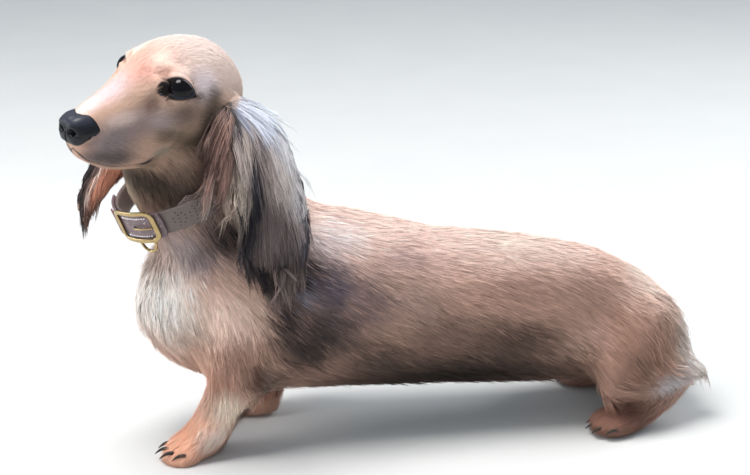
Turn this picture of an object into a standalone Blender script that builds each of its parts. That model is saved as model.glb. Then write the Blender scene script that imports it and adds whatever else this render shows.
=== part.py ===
"""A long-haired miniature dachshund as a life-size still model.

The dog crouches on all four feet with its head raised and turned to its left.
It faces -X, its left side faces -Y, and the floor is Z = 0.  Every soft part is
modelled out to the tips of its coat.  The flesh is welded into one body and then
parted by thin cuts into the pieces that a person would name.  Ears, eyes, nose,
claws and collar are pieces of their own that meet it with a small gap.
"""

import math

import bmesh
import bpy
import numpy as np
from mathutils import Matrix, Vector

MM = 0.001

# ---------------------------------------------------------------- driving sizes
GAP = 0.3 * MM              # clearance kept between neighbouring solids
LEG_REACH = 5.0 * MM        # how far a leg's own piece reaches past its bare shape
VOXEL = 2.4 * MM            # grain at which the flesh is welded
SMOOTH_ROUNDS = 8
FLESH_TRIANGLES = 2490
CUTTER_TRIANGLES = 150
HEAD_DETAIL = 2.0           # how much finer the head and feet stay than the trunk
HEAD_REACH = 95.0 * MM      # radius of the finer part round the point between the eyes
PAW_REACH = 40.0 * MM       # and round each paw
SHARP_ANGLE = 50.0          # degrees between faces from which an edge is shaded sharp
HALF_SPACE = 1.0            # metres, side of the blocks that cut along a plane

HEAD_AT = Vector((-163, -40, 270)) * MM     # point between the eyes
HEAD_YAW = 34.0             # degrees the muzzle swings from -X towards -Y
HEAD_PITCH = -4.0           # degrees, nose down
HEAD_ROLL = 8.0             # degrees, left eye down

EYE_AT = (-5, 25.5, -0.5)   # forward, out, up from between the eyes, in mm
EYE_RADIUS = 9.6            # mm

COLLAR_AT = Vector((-142, -12, 187)) * MM
COLLAR_LEAN = 22.0          # degrees the collar's axis leans forward from upright
COLLAR_TURN = 8.0           # degrees the collar's axis leans to the dog's left
COLLAR_HALF_DEEP = 43.5 * MM
COLLAR_HALF_WIDE = 41.0 * MM
STRAP_WIDTH = 17.0 * MM
STRAP_THICK = 2.4 * MM

LEFT, RIGHT = -1.0, 1.0     # the sign of Y on each side

# ---------------------------------------------------------------- stations, in mm
# x, y, z of the centre, half across, half deep, taper (narrower above where negative)
TRUNK = (
    (-172, 0, 106, 22, 24, 0.0),
    (-160, 0, 106, 37, 41, 0.0),
    (-138, 0, 105, 48, 54, -0.05),
    (-105, 0, 104, 54, 63, -0.12),
    (-68, 0, 103, 54, 68, -0.16),
    (-30, 0, 98, 53, 65, -0.14),
    (15, 0, 90, 51, 60, -0.06),
    (60, 0, 86, 49, 57, 0.0),
    (105, 0, 81, 48, 55, 0.0),
    (145, 0, 74, 48, 50, 0.0),
    (178, 0, 64, 45, 41, 0.0),
    (203, 0, 55, 37, 29, 0.0),
    (217, 0, 48, 21, 15, 0.0),
)
NECK = (
    (-78, 0, 120, 48, 52, 0.0),
    (-102, -1, 147, 47, 52, 0.0),
    (-122, -4, 170, 43, 46, 0.0),
    (-138, -9, 192, 39, 41.5, 0.0),
    (-146, -15, 215, 35, 38, 0.0),
    (-148, -21, 238, 31, 34, 0.0),
)
# the tail leaves the croup, reaches the floor and lies round the dog's right side
TAIL = (
    (184, 0, 64, 15, 14, 0.0),
    (200, 3, 54, 14, 14, 0.0),
    (211, 10, 41, 13, 13, 0.0),
    (216, 24, 26, 12, 12, 0.0),
    (214, 44, 15, 13, 12, 0.0),
    (203, 64, 12, 16, 12, 0.0),
    (181, 79, 12, 17, 12, 0.0),
    (154, 87, 11, 16, 12, 0.0),
    (127, 89, 9, 12, 10, 0.0),
    (106, 88, 7, 7, 7, 0.0),
    (96, 87, 6, 3, 3, 0.0),
)
# left legs; the right ones are mirrored and set back by the steps below
FORELEG = (
    (-100, -20, 128, 26, 40, 0.0),
    (-103, -34, 102, 24, 36, 0.0),
    (-106, -42, 82, 20, 28, 0.0),
    (-112, -43, 64, 17, 21, 0.0),
    (-117, -41, 50, 15, 17.5, 0.0),
    (-122, -39, 37, 14.5, 15.5, 0.0),
    (-128, -39, 25, 15, 15.5, 0.0),
    (-134, -40, 15, 15, 14, 0.0),
)
THIGH = (
    (190, -18, 80, 24, 32, 0.0),
    (172, -33, 63, 24, 34, 0.0),
    (158, -43, 47, 19, 26, 0.0),
    (149, -47, 36, 13, 15, 0.0),
)
SHANK = (
    (143, -47, 37, 10, 10.5, 0.0),
    (152, -48, 38, 15, 14, 0.0),
    (176, -45, 41, 16, 16.5, 0.0),
    (202, -37, 41, 12, 14, 0.0),
    (219, -30, 38, 9, 10, 0.0),
    (230, -27, 36, 7, 7, 0.0),
)
HIND_PASTERN = (
    (224, -28, 36, 8, 8, 0.0),
    (212, -31, 27, 9, 9, 0.0),
    (195, -36, 18, 11, 10, 0.0),
    (178, -41, 13, 13, 11, 0.0),
)
# along the muzzle's axis from between the eyes: forward, top, bottom, half width, taper
SKULL = (
    (65, -16, -32, 6, 0.0),
    (60, -9, -40, 11.5, 0.0),
    (50, -4, -47, 16.5, 0.05),
    (34, 0, -53, 21, 0.06),
    (17, 5.5, -54, 24.5, 0.03),
    (4, 15, -53, 29, -0.02),
    (-9, 22.5, -52, 33, -0.08),
    (-25, 24, -51, 36, -0.12),
    (-41, 19.5, -48, 35.5, -0.14),
    (-54, 11, -42, 31, -0.12),
    (-63, -1, -32, 22, 0.0),
    (-67.5, -9, -22, 11, 0.0),
)
# rounded masses on each side of the head: forward, out, up, then the three half sizes
HEAD_MASSES = (
    (-14, 23, -24, 25, 13, 17),     # cheek
    (-5, 20.5, 6.5, 15, 11, 6.5),   # brow
    (42, 8, -31, 24, 10.5, 11),     # lip
    (-5, 24.5, -8, 15, 8.5, 9),     # rim of the eye socket
)
# rounded masses on each side of the body: x, y, z, then the three half sizes
BODY_MASSES = (
    (-164, -8, 100, 15, 18, 24),    # breast tuft
    (-120, -34, 122, 30, 17, 30),   # shoulder point
    (-88, -38, 135, 36, 14, 38),    # shoulder blade
    (206, -16, 54, 17, 20, 22),     # breeches behind the thigh
)
ELBOW_TUFTS = (
    (-87, -46, 72, 13, 10, 13),
    (-94, -44, 56, 13, 10, 14),
    (-103, -41, 42, 11, 10, 10),
)

FORE_PAW = {
    "at": (-142, -35),
    "heading": 20.0,        # degrees the toes turn out
    "length": 48.0,
    "half_width": 16.5,
    "half_tall": 13.0,
}
HIND_PAW = {
    "at": (161, -46),
    "heading": 18.0,
    "length": 46.0,
    "half_width": 16.5,
    "half_tall": 12.0,
}
RIGHT_FORE_STEP = 47.0      # mm the right foreleg stands behind the left one
RIGHT_HIND_STEP = 0.0
TOE_SPREAD = (-0.75, -0.27, 0.27, 0.75)     # across the paw, as shares of its half width
TOE_LEAD = (-6.0, 0.0, 0.5, -5.0)           # how far each toe reaches ahead, in mm
TOE_HALF = (13.0, 5.6, 8.5)                 # half sizes of a toe, in mm
TOE_MIDDLE = (10.0, 7.5)                    # behind the paw's front, above the floor
PAD_MIDDLE = (-2.0, 8.0)                    # ahead of the paw's middle, above the floor
PAD_INSET = 1.0
# a claw's stations: ahead of the toe's middle, height, half across, half deep
CLAW = (
    (8.5, 10.0, 2.1, 2.7),
    (12.5, 9.2, 1.9, 2.4),
    (15.5, 7.0, 1.4, 1.8),
    (17.5, 4.0, 0.5, 0.6),
)

# each ear: centre line x, y, z, half width, half thickness, curl of its edges
EAR_LEFT = (
    (-114, -40, 253, 10, 5.0, 0.0),
    (-107, -52, 244, 15, 6.0, 1.0),
    (-100, -60, 230, 19, 6.5, 3.0),
    (-95, -64, 211, 23, 7.0, 5.0),
    (-91, -66, 190, 26.5, 7.0, 6.0),
    (-86, -65, 166, 30, 7.0, 6.0),
    (-84, -63, 147, 27, 6.0, 4.0),
    (-85, -61, 133, 14, 4.0, 1.0),
)
FOLD_LEFT = (
    (-113, -48, 245, 9, 4.0, 0.0),
    (-115, -57, 231, 12, 5.0, 0.0),
    (-119, -62, 212, 13, 5.0, 0.0),
    (-123, -63, 195, 13, 4.5, 0.0),
    (-124, -61, 181, 8, 3.0, 0.0),
)
EAR_RIGHT = (
    (-147, 8, 268, 12, 5.0, 0.0),
    (-149, 22, 262, 17, 6.0, 1.0),
    (-156, 32, 245, 20, 6.5, 2.0),
    (-167, 33, 226, 21, 7.0, 3.0),
    (-181, 27, 207, 19, 7.0, 4.0),
    (-195, 20, 190, 14, 6.5, 4.0),
    (-205, 16, 174, 8.5, 5.5, 3.0),
    (-209, 15, 160, 3.5, 3.0, 1.0),
)

PAWS = (    # which paw, on which side, and how far it is set back
    (FORE_PAW, LEFT, 0.0),
    (HIND_PAW, LEFT, 0.0),
    (FORE_PAW, RIGHT, RIGHT_FORE_STEP),
    (HIND_PAW, RIGHT, RIGHT_HIND_STEP),
)
# planes that part one piece from the next: a point on each, in mm, and its normal
ANKLE_FORE = ((-126, -39, 27), (-0.35, 0, 1))
ANKLE_HIND = ((170, -38, 22), (0.1, 0, 1))
NECK_TOP = ((-150, -18, 222), (-0.5, 0, 0.87))
NECK_ROOT = ((-120, 0, 150), (-0.55, 0, 0.83))
NOSE = (56, 0, -19, 13, 14.5, 11.5)   # forward, out, up, then the three half sizes
BUCKLE_TURN = 46.0          # degrees from the collar's front to the dog's left
BUCKLE_SIZE = (33 * MM, 26.5 * MM)
BUCKLE_CORNER = 5 * MM
BUCKLE_BAR = 1.5 * MM       # half the bar's width
BUCKLE_FLATNESS = 0.7       # the bar's thickness as a share of its width
STRAP_BEVEL = 0.7 * MM
TONGUE_SPAN = (-20.0, 69.0)     # degrees from the collar's front to the dog's left
TONGUE_THICK = 2.0 * MM
TONGUE_INSET = 1.5 * MM         # how much narrower the free end is than the strap
KEEPER_SPAN = (4.0, 14.0)
KEEPER_THICK = 1.6 * MM
KEEPER_OVERHANG = 2.0 * MM
PRONG_ROUTE = ((18.0, 1.4), (12.0, 1.6), (5.0, 1.5), (-1.0, 1.2))  # degrees, mm outwards
PRONG_RADIUS = 0.9 * MM
RING_TURN = 43.0
RING_ROUTE = ((-9, 0), (9, 0), (9, 5), (6, 10), (0, 12), (-6, 10), (-9, 5))  # degrees, mm down
RING_RADIUS = 1.1 * MM
RING_LEVEL = 0.6                # how far out the ring lies, as a share of the strap

COAT = (0.78, 0.52, 0.33, 1.0)
EAR_COAT = (0.42, 0.32, 0.26, 1.0)
BLACK_LEATHER = (0.015, 0.016, 0.02, 1.0)
CLAW_HORN = (0.03, 0.025, 0.022, 1.0)
EYE_BROWN = (0.025, 0.014, 0.01, 1.0)
ROSE_LEATHER = (0.45, 0.36, 0.33, 1.0)
GOLD = (0.78, 0.6, 0.28, 1.0)


# ---------------------------------------------------------------- small tools
def clear_scene():
    """Removes every object the session opened with."""
    for obj in list(bpy.data.objects):
        bpy.data.objects.remove(obj)


def collection(name):
    """A new collection in the scene."""
    made = bpy.data.collections.new(name)
    bpy.context.scene.collection.children.link(made)
    return made


def material(name, colour, roughness, metallic=0.0):
    """A Principled BSDF of one colour."""
    made = bpy.data.materials.new(name)
    made.use_nodes = True
    shader = made.node_tree.nodes["Principled BSDF"]
    shader.inputs["Base Color"].default_value = colour
    shader.inputs["Roughness"].default_value = roughness
    shader.inputs["Metallic"].default_value = metallic
    return made


def head_frame():
    """The head's place and turn: its axes are forward, out to the left, and up."""
    facing = Matrix(((-1, 0, 0), (0, -1, 0), (0, 0, 1))).to_4x4()
    yaw = Matrix.Rotation(math.radians(HEAD_YAW), 4, "Z")
    pitch = Matrix.Rotation(-math.radians(HEAD_PITCH), 4, "Y")
    roll = Matrix.Rotation(-math.radians(HEAD_ROLL), 4, "X")
    return Matrix.Translation(HEAD_AT) @ facing @ yaw @ pitch @ roll


def smooth_rows(rows, steps):
    """Rows of numbers read from a smooth (Catmull-Rom) curve through the stations."""
    rows = np.array(rows, float)
    ends = np.vstack([2 * rows[0] - rows[1], rows, 2 * rows[-1] - rows[-2]])
    at = np.linspace(0, len(rows) - 1, steps)
    i = np.minimum(at.astype(int), len(rows) - 2)
    t = (at - i)[:, None]
    a, b, c, d = ends[i], ends[i + 1], ends[i + 2], ends[i + 3]
    return 0.5 * (2 * b + (c - a) * t + (2 * a - 5 * b + 4 * c - d) * t**2
                  + (3 * b - a - 3 * c + d) * t**3)


def mesh_object(name, bm, group):
    """The bmesh as an object, with its faces pointing out."""
    bmesh.ops.recalc_face_normals(bm, faces=bm.faces)
    mesh = bpy.data.meshes.new(name)
    bm.to_mesh(mesh)
    bm.free()
    obj = bpy.data.objects.new(name, mesh)
    group.objects.link(obj)
    return obj


def tube(name, rows, group, across=(0, 1, 0), steps=24, sides=24, curl=None, grow=0.0,
         place=Matrix()):
    """Closed loft through stations in mm: centre, half across, half deep, taper or curl.

    Each ring is an ellipse square to the path.  Taper makes it narrower on one side;
    curl instead bends a flat ring's edges inwards, as on an ear.
    """
    table = smooth_rows(rows, steps)
    centres = table[:, :3]
    tangents = np.gradient(centres, axis=0)
    tangents /= np.linalg.norm(tangents, axis=1, keepdims=True)
    first = np.array(across, float) - tangents * (tangents @ np.array(across, float))[:, None]
    first /= np.linalg.norm(first, axis=1, keepdims=True)
    second = np.cross(tangents, first)
    if curl is None:
        second *= np.where(second[:, 2:] < 0, -1.0, 1.0)
    else:
        second *= np.where(second @ np.array(curl, float) < 0, -1.0, 1.0)[:, None]
    bm = bmesh.new()
    rings = []
    for centre, along, deep, row in zip(centres, first, second, table):
        half_across, half_deep, shape = row[3] + grow, row[4] + grow, row[5]
        ring = []
        for turn in np.linspace(0, 2 * math.pi, sides, endpoint=False):
            c, s = math.cos(turn), math.sin(turn)
            if curl is None:
                offset = along * half_across * c * (1 + shape * s) + deep * half_deep * s
            else:
                offset = along * half_across * c + deep * (half_deep * s - shape * c * c)
            ring.append(bm.verts.new(place @ Vector((centre + offset) * MM)))
        rings.append(ring)
    for low, high in zip(rings, rings[1:]):
        for k in range(sides):
            bm.faces.new((low[k], low[(k + 1) % sides], high[(k + 1) % sides], high[k]))
    bm.faces.new(rings[0])
    bm.faces.new(rings[-1])
    return mesh_object(name, bm, group)


def ellipsoid(name, row, group, sign=1.0, place=Matrix(), segments=16):
    """A sphere stretched to three half sizes; sign mirrors it to the other side."""
    x, y, z, a, b, c = row
    bm = bmesh.new()
    bmesh.ops.create_uvsphere(bm, u_segments=segments, v_segments=segments // 2, radius=MM)
    middle = Matrix.Translation(Vector((x, y * sign, z)) * MM)
    bmesh.ops.transform(bm, matrix=place @ middle @ Matrix.Diagonal((a, b, c, 1)), verts=bm.verts)
    return mesh_object(name, bm, group)


def mirrored(rows, step=0.0):
    """A left part's stations, carried to the right side and set back by a step."""
    return tuple((r[0] + step, -r[1], *r[2:]) for r in rows)


def baked(obj):
    """Applies an object's modifiers, so that its mesh is what the viewport shows."""
    graph = bpy.context.evaluated_depsgraph_get()
    mesh = bpy.data.meshes.new_from_object(obj.evaluated_get(graph))
    obj.modifiers.clear()
    obj.data = mesh
    return obj


def joined(name, objects, group):
    """One object that holds the meshes of several, which are removed."""
    bm = bmesh.new()
    for obj in objects:
        bm.from_mesh(obj.data)
        bpy.data.objects.remove(obj)
    mesh = bpy.data.meshes.new(name)
    bm.to_mesh(mesh)
    bm.free()
    made = bpy.data.objects.new(name, mesh)
    group.objects.link(made)
    return made


def boolean(obj, other, operation):
    """Cuts, joins or keeps the common part with another closed mesh."""
    modifier = obj.modifiers.new(operation.title(), "BOOLEAN")
    modifier.operation = operation
    modifier.object = other
    modifier.solver = "EXACT"
    return baked(obj)


def copy_of(obj, name, group, grow=0.0):
    """A copy of an object's mesh, grown along its normals."""
    made = bpy.data.objects.new(name, obj.data.copy())
    group.objects.link(made)
    if grow:
        push = made.modifiers.new("Grow", "DISPLACE")
        push.mid_level = 0.0
        push.strength = grow
        baked(made)
    return made


def keep_largest(obj):
    """Removes all but the biggest loose piece, which a cut may leave beside crumbs."""
    bm = bmesh.new()
    bm.from_mesh(obj.data)
    bm.verts.ensure_lookup_table()
    seen, pieces = set(), []
    for start in bm.verts:
        if start in seen:
            continue
        piece, todo = [], [start]
        seen.add(start)
        while todo:
            vert = todo.pop()
            piece.append(vert)
            for edge in vert.link_edges:
                other = edge.other_vert(vert)
                if other not in seen:
                    seen.add(other)
                    todo.append(other)
        pieces.append(piece)
    pieces.sort(key=len)
    crumbs = [v for piece in pieces[:-1] for v in piece]
    bmesh.ops.delete(bm, geom=crumbs, context="VERTS")
    bm.to_mesh(obj.data)
    bm.free()
    return obj


def finished(obj, look):
    """Gives a piece its material and shading."""
    obj.data.materials.clear()
    obj.data.materials.append(look)
    obj.data.shade_smooth()
    obj.data.set_sharp_from_angle(angle=math.radians(SHARP_ANGLE))
    return obj


# ---------------------------------------------------------------- flesh
def paw_turn(spec, side, step):
    """A paw's own frame on the floor: forward along the toes, out from the body, up."""
    x, y = spec["at"]
    heading = math.radians(spec["heading"])
    place = Vector((x + step, y * -side, 0)) * MM
    forward = Vector((-math.cos(heading), math.sin(heading) * side, 0))
    out = Vector((math.sin(heading), math.cos(heading) * side, 0))
    turn = Matrix((forward, out, Vector((0, 0, 1)))).transposed().to_4x4()
    return Matrix.Translation(place) @ turn


def toe_places(spec):
    """Where each toe's middle lies in the paw's own frame, in mm."""
    reach = spec["length"] / 2 - TOE_MIDDLE[0]
    return [(reach + lead, spread * spec["half_width"])
            for spread, lead in zip(TOE_SPREAD, TOE_LEAD)]


def paw_masses(spec, side, step, grow=0.0):
    """The rounded pad of a paw and its four toes, as stretched spheres."""
    turn = paw_turn(spec, side, step)
    pad_half = (spec["length"] / 2, spec["half_width"] - PAD_INSET, spec["half_tall"])
    rows = [(PAD_MIDDLE[0], 0, PAD_MIDDLE[1], *pad_half)]
    rows += [(x, y, TOE_MIDDLE[1], *TOE_HALF) for x, y in toe_places(spec)]
    grown = [(*row[:3], *(half + grow for half in row[3:])) for row in rows]
    return [ellipsoid("paw_mass", row, WORK, place=turn) for row in grown]


def leg_masses(side, fore, grow=0.0):
    """Everything one leg is made of, from its root in the body to its toes."""
    step = 0.0 if side == LEFT else (RIGHT_FORE_STEP if fore else RIGHT_HIND_STEP)
    tubes = (FORELEG,) if fore else (THIGH, SHANK, HIND_PASTERN)
    made = []
    for rows in tubes:
        rows = rows if side == LEFT else mirrored(rows, step)
        made.append(tube("leg_mass", rows, WORK, steps=3 * len(rows), sides=20, grow=grow))
    made += paw_masses(FORE_PAW if fore else HIND_PAW, side, step, grow)
    if fore:
        for row in ELBOW_TUFTS:
            x, y, z, a, b, c = row
            row = (x + step, y * -side, z, a + grow, b + grow, c + grow)
            made.append(ellipsoid("elbow_mass", row, WORK))
    return made


def head_masses():
    """Skull and muzzle as one loft, with cheeks, brows and lips on each side."""
    frame = head_frame()
    rows = [(s, 0, (top + low) / 2, half, (top - low) / 2, taper)
            for s, top, low, half, taper in SKULL]
    skull = tube("skull_mass", rows, WORK, steps=36, place=frame)
    sides = [ellipsoid("head_mass", row, WORK, sign, frame)
             for row in HEAD_MASSES for sign in (1.0, -1.0)]
    return [skull, *sides]


def weld(name, pieces, voxel, group):
    """Joins overlapping closed pieces into one smooth skin by remeshing them."""
    whole = joined(name, pieces, group)
    remesh = whole.modifiers.new("Weld", "REMESH")
    remesh.mode = "VOXEL"
    remesh.voxel_size = voxel
    baked(whole)
    relax = whole.modifiers.new("Relax", "SMOOTH")
    relax.factor = 0.5
    relax.iterations = SMOOTH_ROUNDS
    return baked(whole)


def thin_out(obj, triangles, fine_spots=()):
    """Decimates to a number of triangles, holding on to more of them near the spots."""
    points = np.array([v.co for v in obj.data.vertices])
    weight = np.ones(len(points))
    for centre, reach in fine_spots:
        near = np.linalg.norm(points - np.array(centre), axis=1) < reach
        weight[near] = 1.0 / HEAD_DETAIL
    group = obj.vertex_groups.new(name="thin")
    for value in np.unique(weight):
        group.add(np.flatnonzero(weight == value).tolist(), float(value), "REPLACE")
    obj.data.calc_loop_triangles()
    fewer = obj.modifiers.new("Thin", "DECIMATE")
    fewer.ratio = triangles / len(obj.data.loop_triangles)
    fewer.vertex_group = group.name
    fewer.use_collapse_triangulate = True
    return baked(obj)


def half_space(name, at, normal, shift):
    """A big block whose one face passes through a point, moved along its normal."""
    bm = bmesh.new()
    bmesh.ops.create_cube(bm, size=HALF_SPACE)
    turn = Vector(normal).normalized().to_track_quat("Z", "Y").to_matrix().to_4x4()
    lift = Matrix.Translation((0, 0, HALF_SPACE / 2 + shift))
    place = Matrix.Translation(Vector(at) * MM) @ turn @ lift
    bmesh.ops.transform(bm, matrix=place, verts=bm.verts)
    return mesh_object(name, bm, CUTTERS)


def parted(obj, name_above, name_below, plane):
    """Cuts a solid in two at a plane and leaves a thin gap between the halves."""
    above = copy_of(obj, name_above, PARTS)
    below = copy_of(obj, name_below, PARTS)
    boolean(above, half_space("under_" + name_above, *plane, GAP / 2 - HALF_SPACE), "DIFFERENCE")
    boolean(below, half_space("over_" + name_below, *plane, -GAP / 2), "DIFFERENCE")
    bpy.data.objects.remove(obj)
    return keep_largest(above), keep_largest(below)


def limb_cut(flesh, masses, name):
    """Takes a limb out of the flesh along a smooth shape grown round it."""
    cutter = weld("cut_" + name, masses, 2 * VOXEL, CUTTERS)
    thin_out(cutter, CUTTER_TRIANGLES)
    wider = copy_of(cutter, "gap_" + name, CUTTERS, GAP)
    limb = copy_of(flesh, name, PARTS)
    boolean(limb, cutter, "INTERSECT")
    boolean(flesh, wider, "DIFFERENCE")
    keep_largest(flesh)
    return keep_largest(limb)


def claw(name, spec, side, step, toe):
    """A short curved claw that leaves the front of a toe and points down."""
    x, y = toe_places(spec)[toe]
    rows = [(x + ahead, y, height, wide, deep, 0) for ahead, height, wide, deep in CLAW]
    return tube(name, rows, PARTS, steps=3, sides=5, place=paw_turn(spec, side, step))


# ---------------------------------------------------------------- collar
def collar_frame():
    """The collar's place: its axes are forward, left, and along the neck."""
    facing = Matrix(((-1, 0, 0), (0, -1, 0), (0, 0, 1))).to_4x4()
    lean = Matrix.Rotation(math.radians(COLLAR_LEAN), 4, "Y")
    turn = Matrix.Rotation(math.radians(-COLLAR_TURN), 4, "X")
    return Matrix.Translation(COLLAR_AT) @ facing @ lean @ turn


def on_collar(angle, along, out):
    """A point on the collar: degrees from its front to the left, along the neck, outwards."""
    a = math.radians(angle)
    ring = Vector((COLLAR_HALF_DEEP * math.cos(a), COLLAR_HALF_WIDE * math.sin(a), 0))
    normal = Vector((math.cos(a) / COLLAR_HALF_DEEP, math.sin(a) / COLLAR_HALF_WIDE, 0))
    return collar_frame() @ (ring + normal.normalized() * out + Vector((0, 0, along)))


def strap(name, start, end, width, inner, thick, steps):
    """A flat band carried round the collar's oval; it closes on itself after 360 degrees."""
    closed = end - start >= 360
    angles = np.linspace(start, end, steps, endpoint=not closed)
    half = width / 2
    low_edge, flat = thick - STRAP_BEVEL, half - STRAP_BEVEL
    section = ((-half, 0), (half, 0), (half, low_edge), (flat, thick), (-flat, thick),
               (-half, low_edge))
    bm = bmesh.new()
    rings = [[bm.verts.new(on_collar(a, v, inner + w)) for v, w in section] for a in angles]
    pairs = list(zip(rings, rings[1:] + rings[:1])) if closed else list(zip(rings, rings[1:]))
    for low, high in pairs:
        for k in range(len(section)):
            j = (k + 1) % len(section)
            bm.faces.new((low[k], low[j], high[j], high[k]))
    if not closed:
        bm.faces.new(rings[0])
        bm.faces.new(rings[-1])
    return mesh_object(name, bm, PARTS)


def frame_loop(name, angle, size, corner, out, bar, sides=6):
    """A rounded rectangle of bar stock that lies flat on the collar."""
    wide, tall = size
    mean_radius = (COLLAR_HALF_DEEP + COLLAR_HALF_WIDE) / 2
    centres = []
    for quarter, (sx, sy) in enumerate(((1, 1), (-1, 1), (-1, -1), (1, -1))):
        for turn in np.radians((0, 45, 90)) + quarter * math.pi / 2:
            s = sx * (wide / 2 - corner) + corner * math.cos(turn)
            v = sy * (tall / 2 - corner) + corner * math.sin(turn)
            centres.append((s, v))
    bm = bmesh.new()
    rings = []
    for i, (s, v) in enumerate(centres):
        after, before = centres[(i + 1) % len(centres)], centres[i - 1]
        along = Vector((after[0] - before[0], after[1] - before[1])).normalized()
        ring = []
        for turn in np.linspace(0, 2 * math.pi, sides, endpoint=False):
            aside, lift = bar * math.cos(turn), bar * BUCKLE_FLATNESS * math.sin(turn)
            point_angle = angle + math.degrees((s + along.y * aside) / mean_radius)
            ring.append(bm.verts.new(on_collar(point_angle, v - along.x * aside, out + lift)))
        rings.append(ring)
    for low, high in zip(rings, rings[1:] + rings[:1]):
        for k in range(sides):
            bm.faces.new((low[k], low[(k + 1) % sides], high[(k + 1) % sides], high[k]))
    return mesh_object(name, bm, PARTS)


def rod_on_collar(name, route, radius, closed=False, sides=6):
    """A round rod through points given as degrees round, along the neck and outwards."""
    points = [on_collar(*point) for point in route]
    count = len(points)
    bm = bmesh.new()
    rings = []
    for i, point in enumerate(points):
        before = points[i - 1] if closed or i else point
        after = points[(i + 1) % count] if closed or i < count - 1 else point
        turn = (after - before).normalized().to_track_quat("Z", "Y").to_matrix()
        rings.append([bm.verts.new(point + turn @ Vector((math.cos(t), math.sin(t), 0)) * radius)
                      for t in np.linspace(0, 2 * math.pi, sides, endpoint=False)])
    for low, high in list(zip(rings, rings[1:])) + ([(rings[-1], rings[0])] if closed else []):
        for k in range(sides):
            bm.faces.new((low[k], low[(k + 1) % sides], high[(k + 1) % sides], high[k]))
    if not closed:
        bm.faces.new(rings[0])
        bm.faces.new(rings[-1])
    return mesh_object(name, bm, PARTS)


def build_collar():
    """Strap, its free end through the buckle, buckle frame, prong, keeper and ring."""
    lift = STRAP_THICK + GAP
    top = lift + TONGUE_THICK
    over = top + GAP
    strap("collar_strap", 0, 360, STRAP_WIDTH, 0.0, STRAP_THICK, 30)
    strap("collar_tongue", *TONGUE_SPAN, STRAP_WIDTH - TONGUE_INSET, lift, TONGUE_THICK, 14)
    strap("collar_keeper", *KEEPER_SPAN, STRAP_WIDTH + KEEPER_OVERHANG, over, KEEPER_THICK, 3)
    frame_out = over + BUCKLE_BAR * BUCKLE_FLATNESS
    frame_loop("collar_buckle", BUCKLE_TURN, BUCKLE_SIZE, BUCKLE_CORNER, frame_out, BUCKLE_BAR)
    prong = [(BUCKLE_TURN + turn, 0.0, over + out * MM) for turn, out in PRONG_ROUTE]
    rod_on_collar("collar_prong", prong, PRONG_RADIUS)
    low = -STRAP_WIDTH / 2 - RING_RADIUS - GAP
    level = STRAP_THICK * RING_LEVEL
    ring = [(RING_TURN + x, low - drop * MM, level) for x, drop in RING_ROUTE]
    rod_on_collar("collar_ring", ring, RING_RADIUS, closed=True)


# ---------------------------------------------------------------- the model
def build_flesh():
    """The whole dog as one welded solid, thinned out and standing flat on the floor."""
    pieces = [tube("trunk_mass", TRUNK, WORK, steps=40), tube("neck_mass", NECK, WORK, steps=22),
              tube("tail_mass", TAIL, WORK, steps=34, sides=16), *head_masses()]
    for side in (LEFT, RIGHT):
        pieces += leg_masses(side, fore=True) + leg_masses(side, fore=False)
        pieces += [ellipsoid("body_mass", row, WORK, -side) for row in BODY_MASSES]
    flesh = weld("flesh", pieces, VOXEL, WORK)
    feet = [(paw_turn(spec, side, step).translation, PAW_REACH) for spec, side, step in PAWS]
    thin_out(flesh, FLESH_TRIANGLES, [(HEAD_AT, HEAD_REACH), *feet])
    boolean(flesh, half_space("floor", (0, 0, 0), (0, 0, 1), -HALF_SPACE), "DIFFERENCE")
    return keep_largest(flesh)


def build_ear(name, rows, fold, curl):
    """A hanging ear out to the ends of its fringe, as one flap with an optional front fold."""
    ear = tube(name, rows, PARTS, across=(1, 0, 0), steps=14, sides=11, curl=curl)
    if fold:
        lobe = tube("fold_of_" + name, fold, CUTTERS, (1, 0, 0), steps=9, sides=8, curl=curl)
        boolean(ear, lobe, "UNION")
    return ear


def socketed(host, guests):
    """Cuts room for each guest out of the host, with the usual gap round it."""
    for guest in guests:
        boolean(host, copy_of(guest, "room_" + guest.name, CUTTERS, GAP), "DIFFERENCE")
    return keep_largest(host)


def build():
    """Every piece of the dog and its collar, cut to lie beside its neighbours."""
    flesh = build_flesh()
    ears = [build_ear("ear_left", EAR_LEFT, FOLD_LEFT, (0, 1, 0)),
            build_ear("ear_right", EAR_RIGHT, None, (0, -1, 0))]
    eyes = []
    for name, sign in (("eye_left", 1.0), ("eye_right", -1.0)):
        row = (*EYE_AT, *[EYE_RADIUS] * 3)
        eyes.append(ellipsoid(name, row, PARTS, sign, head_frame(), 14))
    nose = ellipsoid("nose", NOSE, PARTS, 1.0, head_frame())
    build_collar()
    collar = [obj for obj in PARTS.objects if obj.name.startswith("collar")]
    for ear in ears:
        socketed(ear, collar)
    socketed(flesh, ears + eyes + [nose] + collar)

    for side, word in ((LEFT, "left"), (RIGHT, "right")):
        for fore, kind in ((True, "fore"), (False, "hind")):
            wide_leg = leg_masses(side, fore, LEG_REACH / MM)
            leg = limb_cut(flesh, wide_leg, f"{kind}leg_{word}")
            spec, _, step = PAWS[(side == RIGHT) * 2 + (not fore)]
            at, normal = ANKLE_FORE if fore else ANKLE_HIND
            plane = ((at[0] + step, at[1] * -side, at[2]), normal)
            leg.name = "whole_leg"
            _, paw = parted(leg, f"{kind}leg_{word}", f"{kind}paw_{word}", plane)
            claws = [claw(f"claw_{kind}_{word}_{toe + 1}", spec, side, step, toe)
                     for toe in range(len(TOE_SPREAD))]
            socketed(paw, claws)
    wide_tail = tube("tail_mass", TAIL, WORK, steps=34, sides=16, grow=LEG_REACH / MM)
    limb_cut(flesh, [wide_tail], "tail")
    _, rest = parted(flesh, "head", "rest", NECK_TOP)
    parted(rest, "neck", "trunk", NECK_ROOT)


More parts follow.
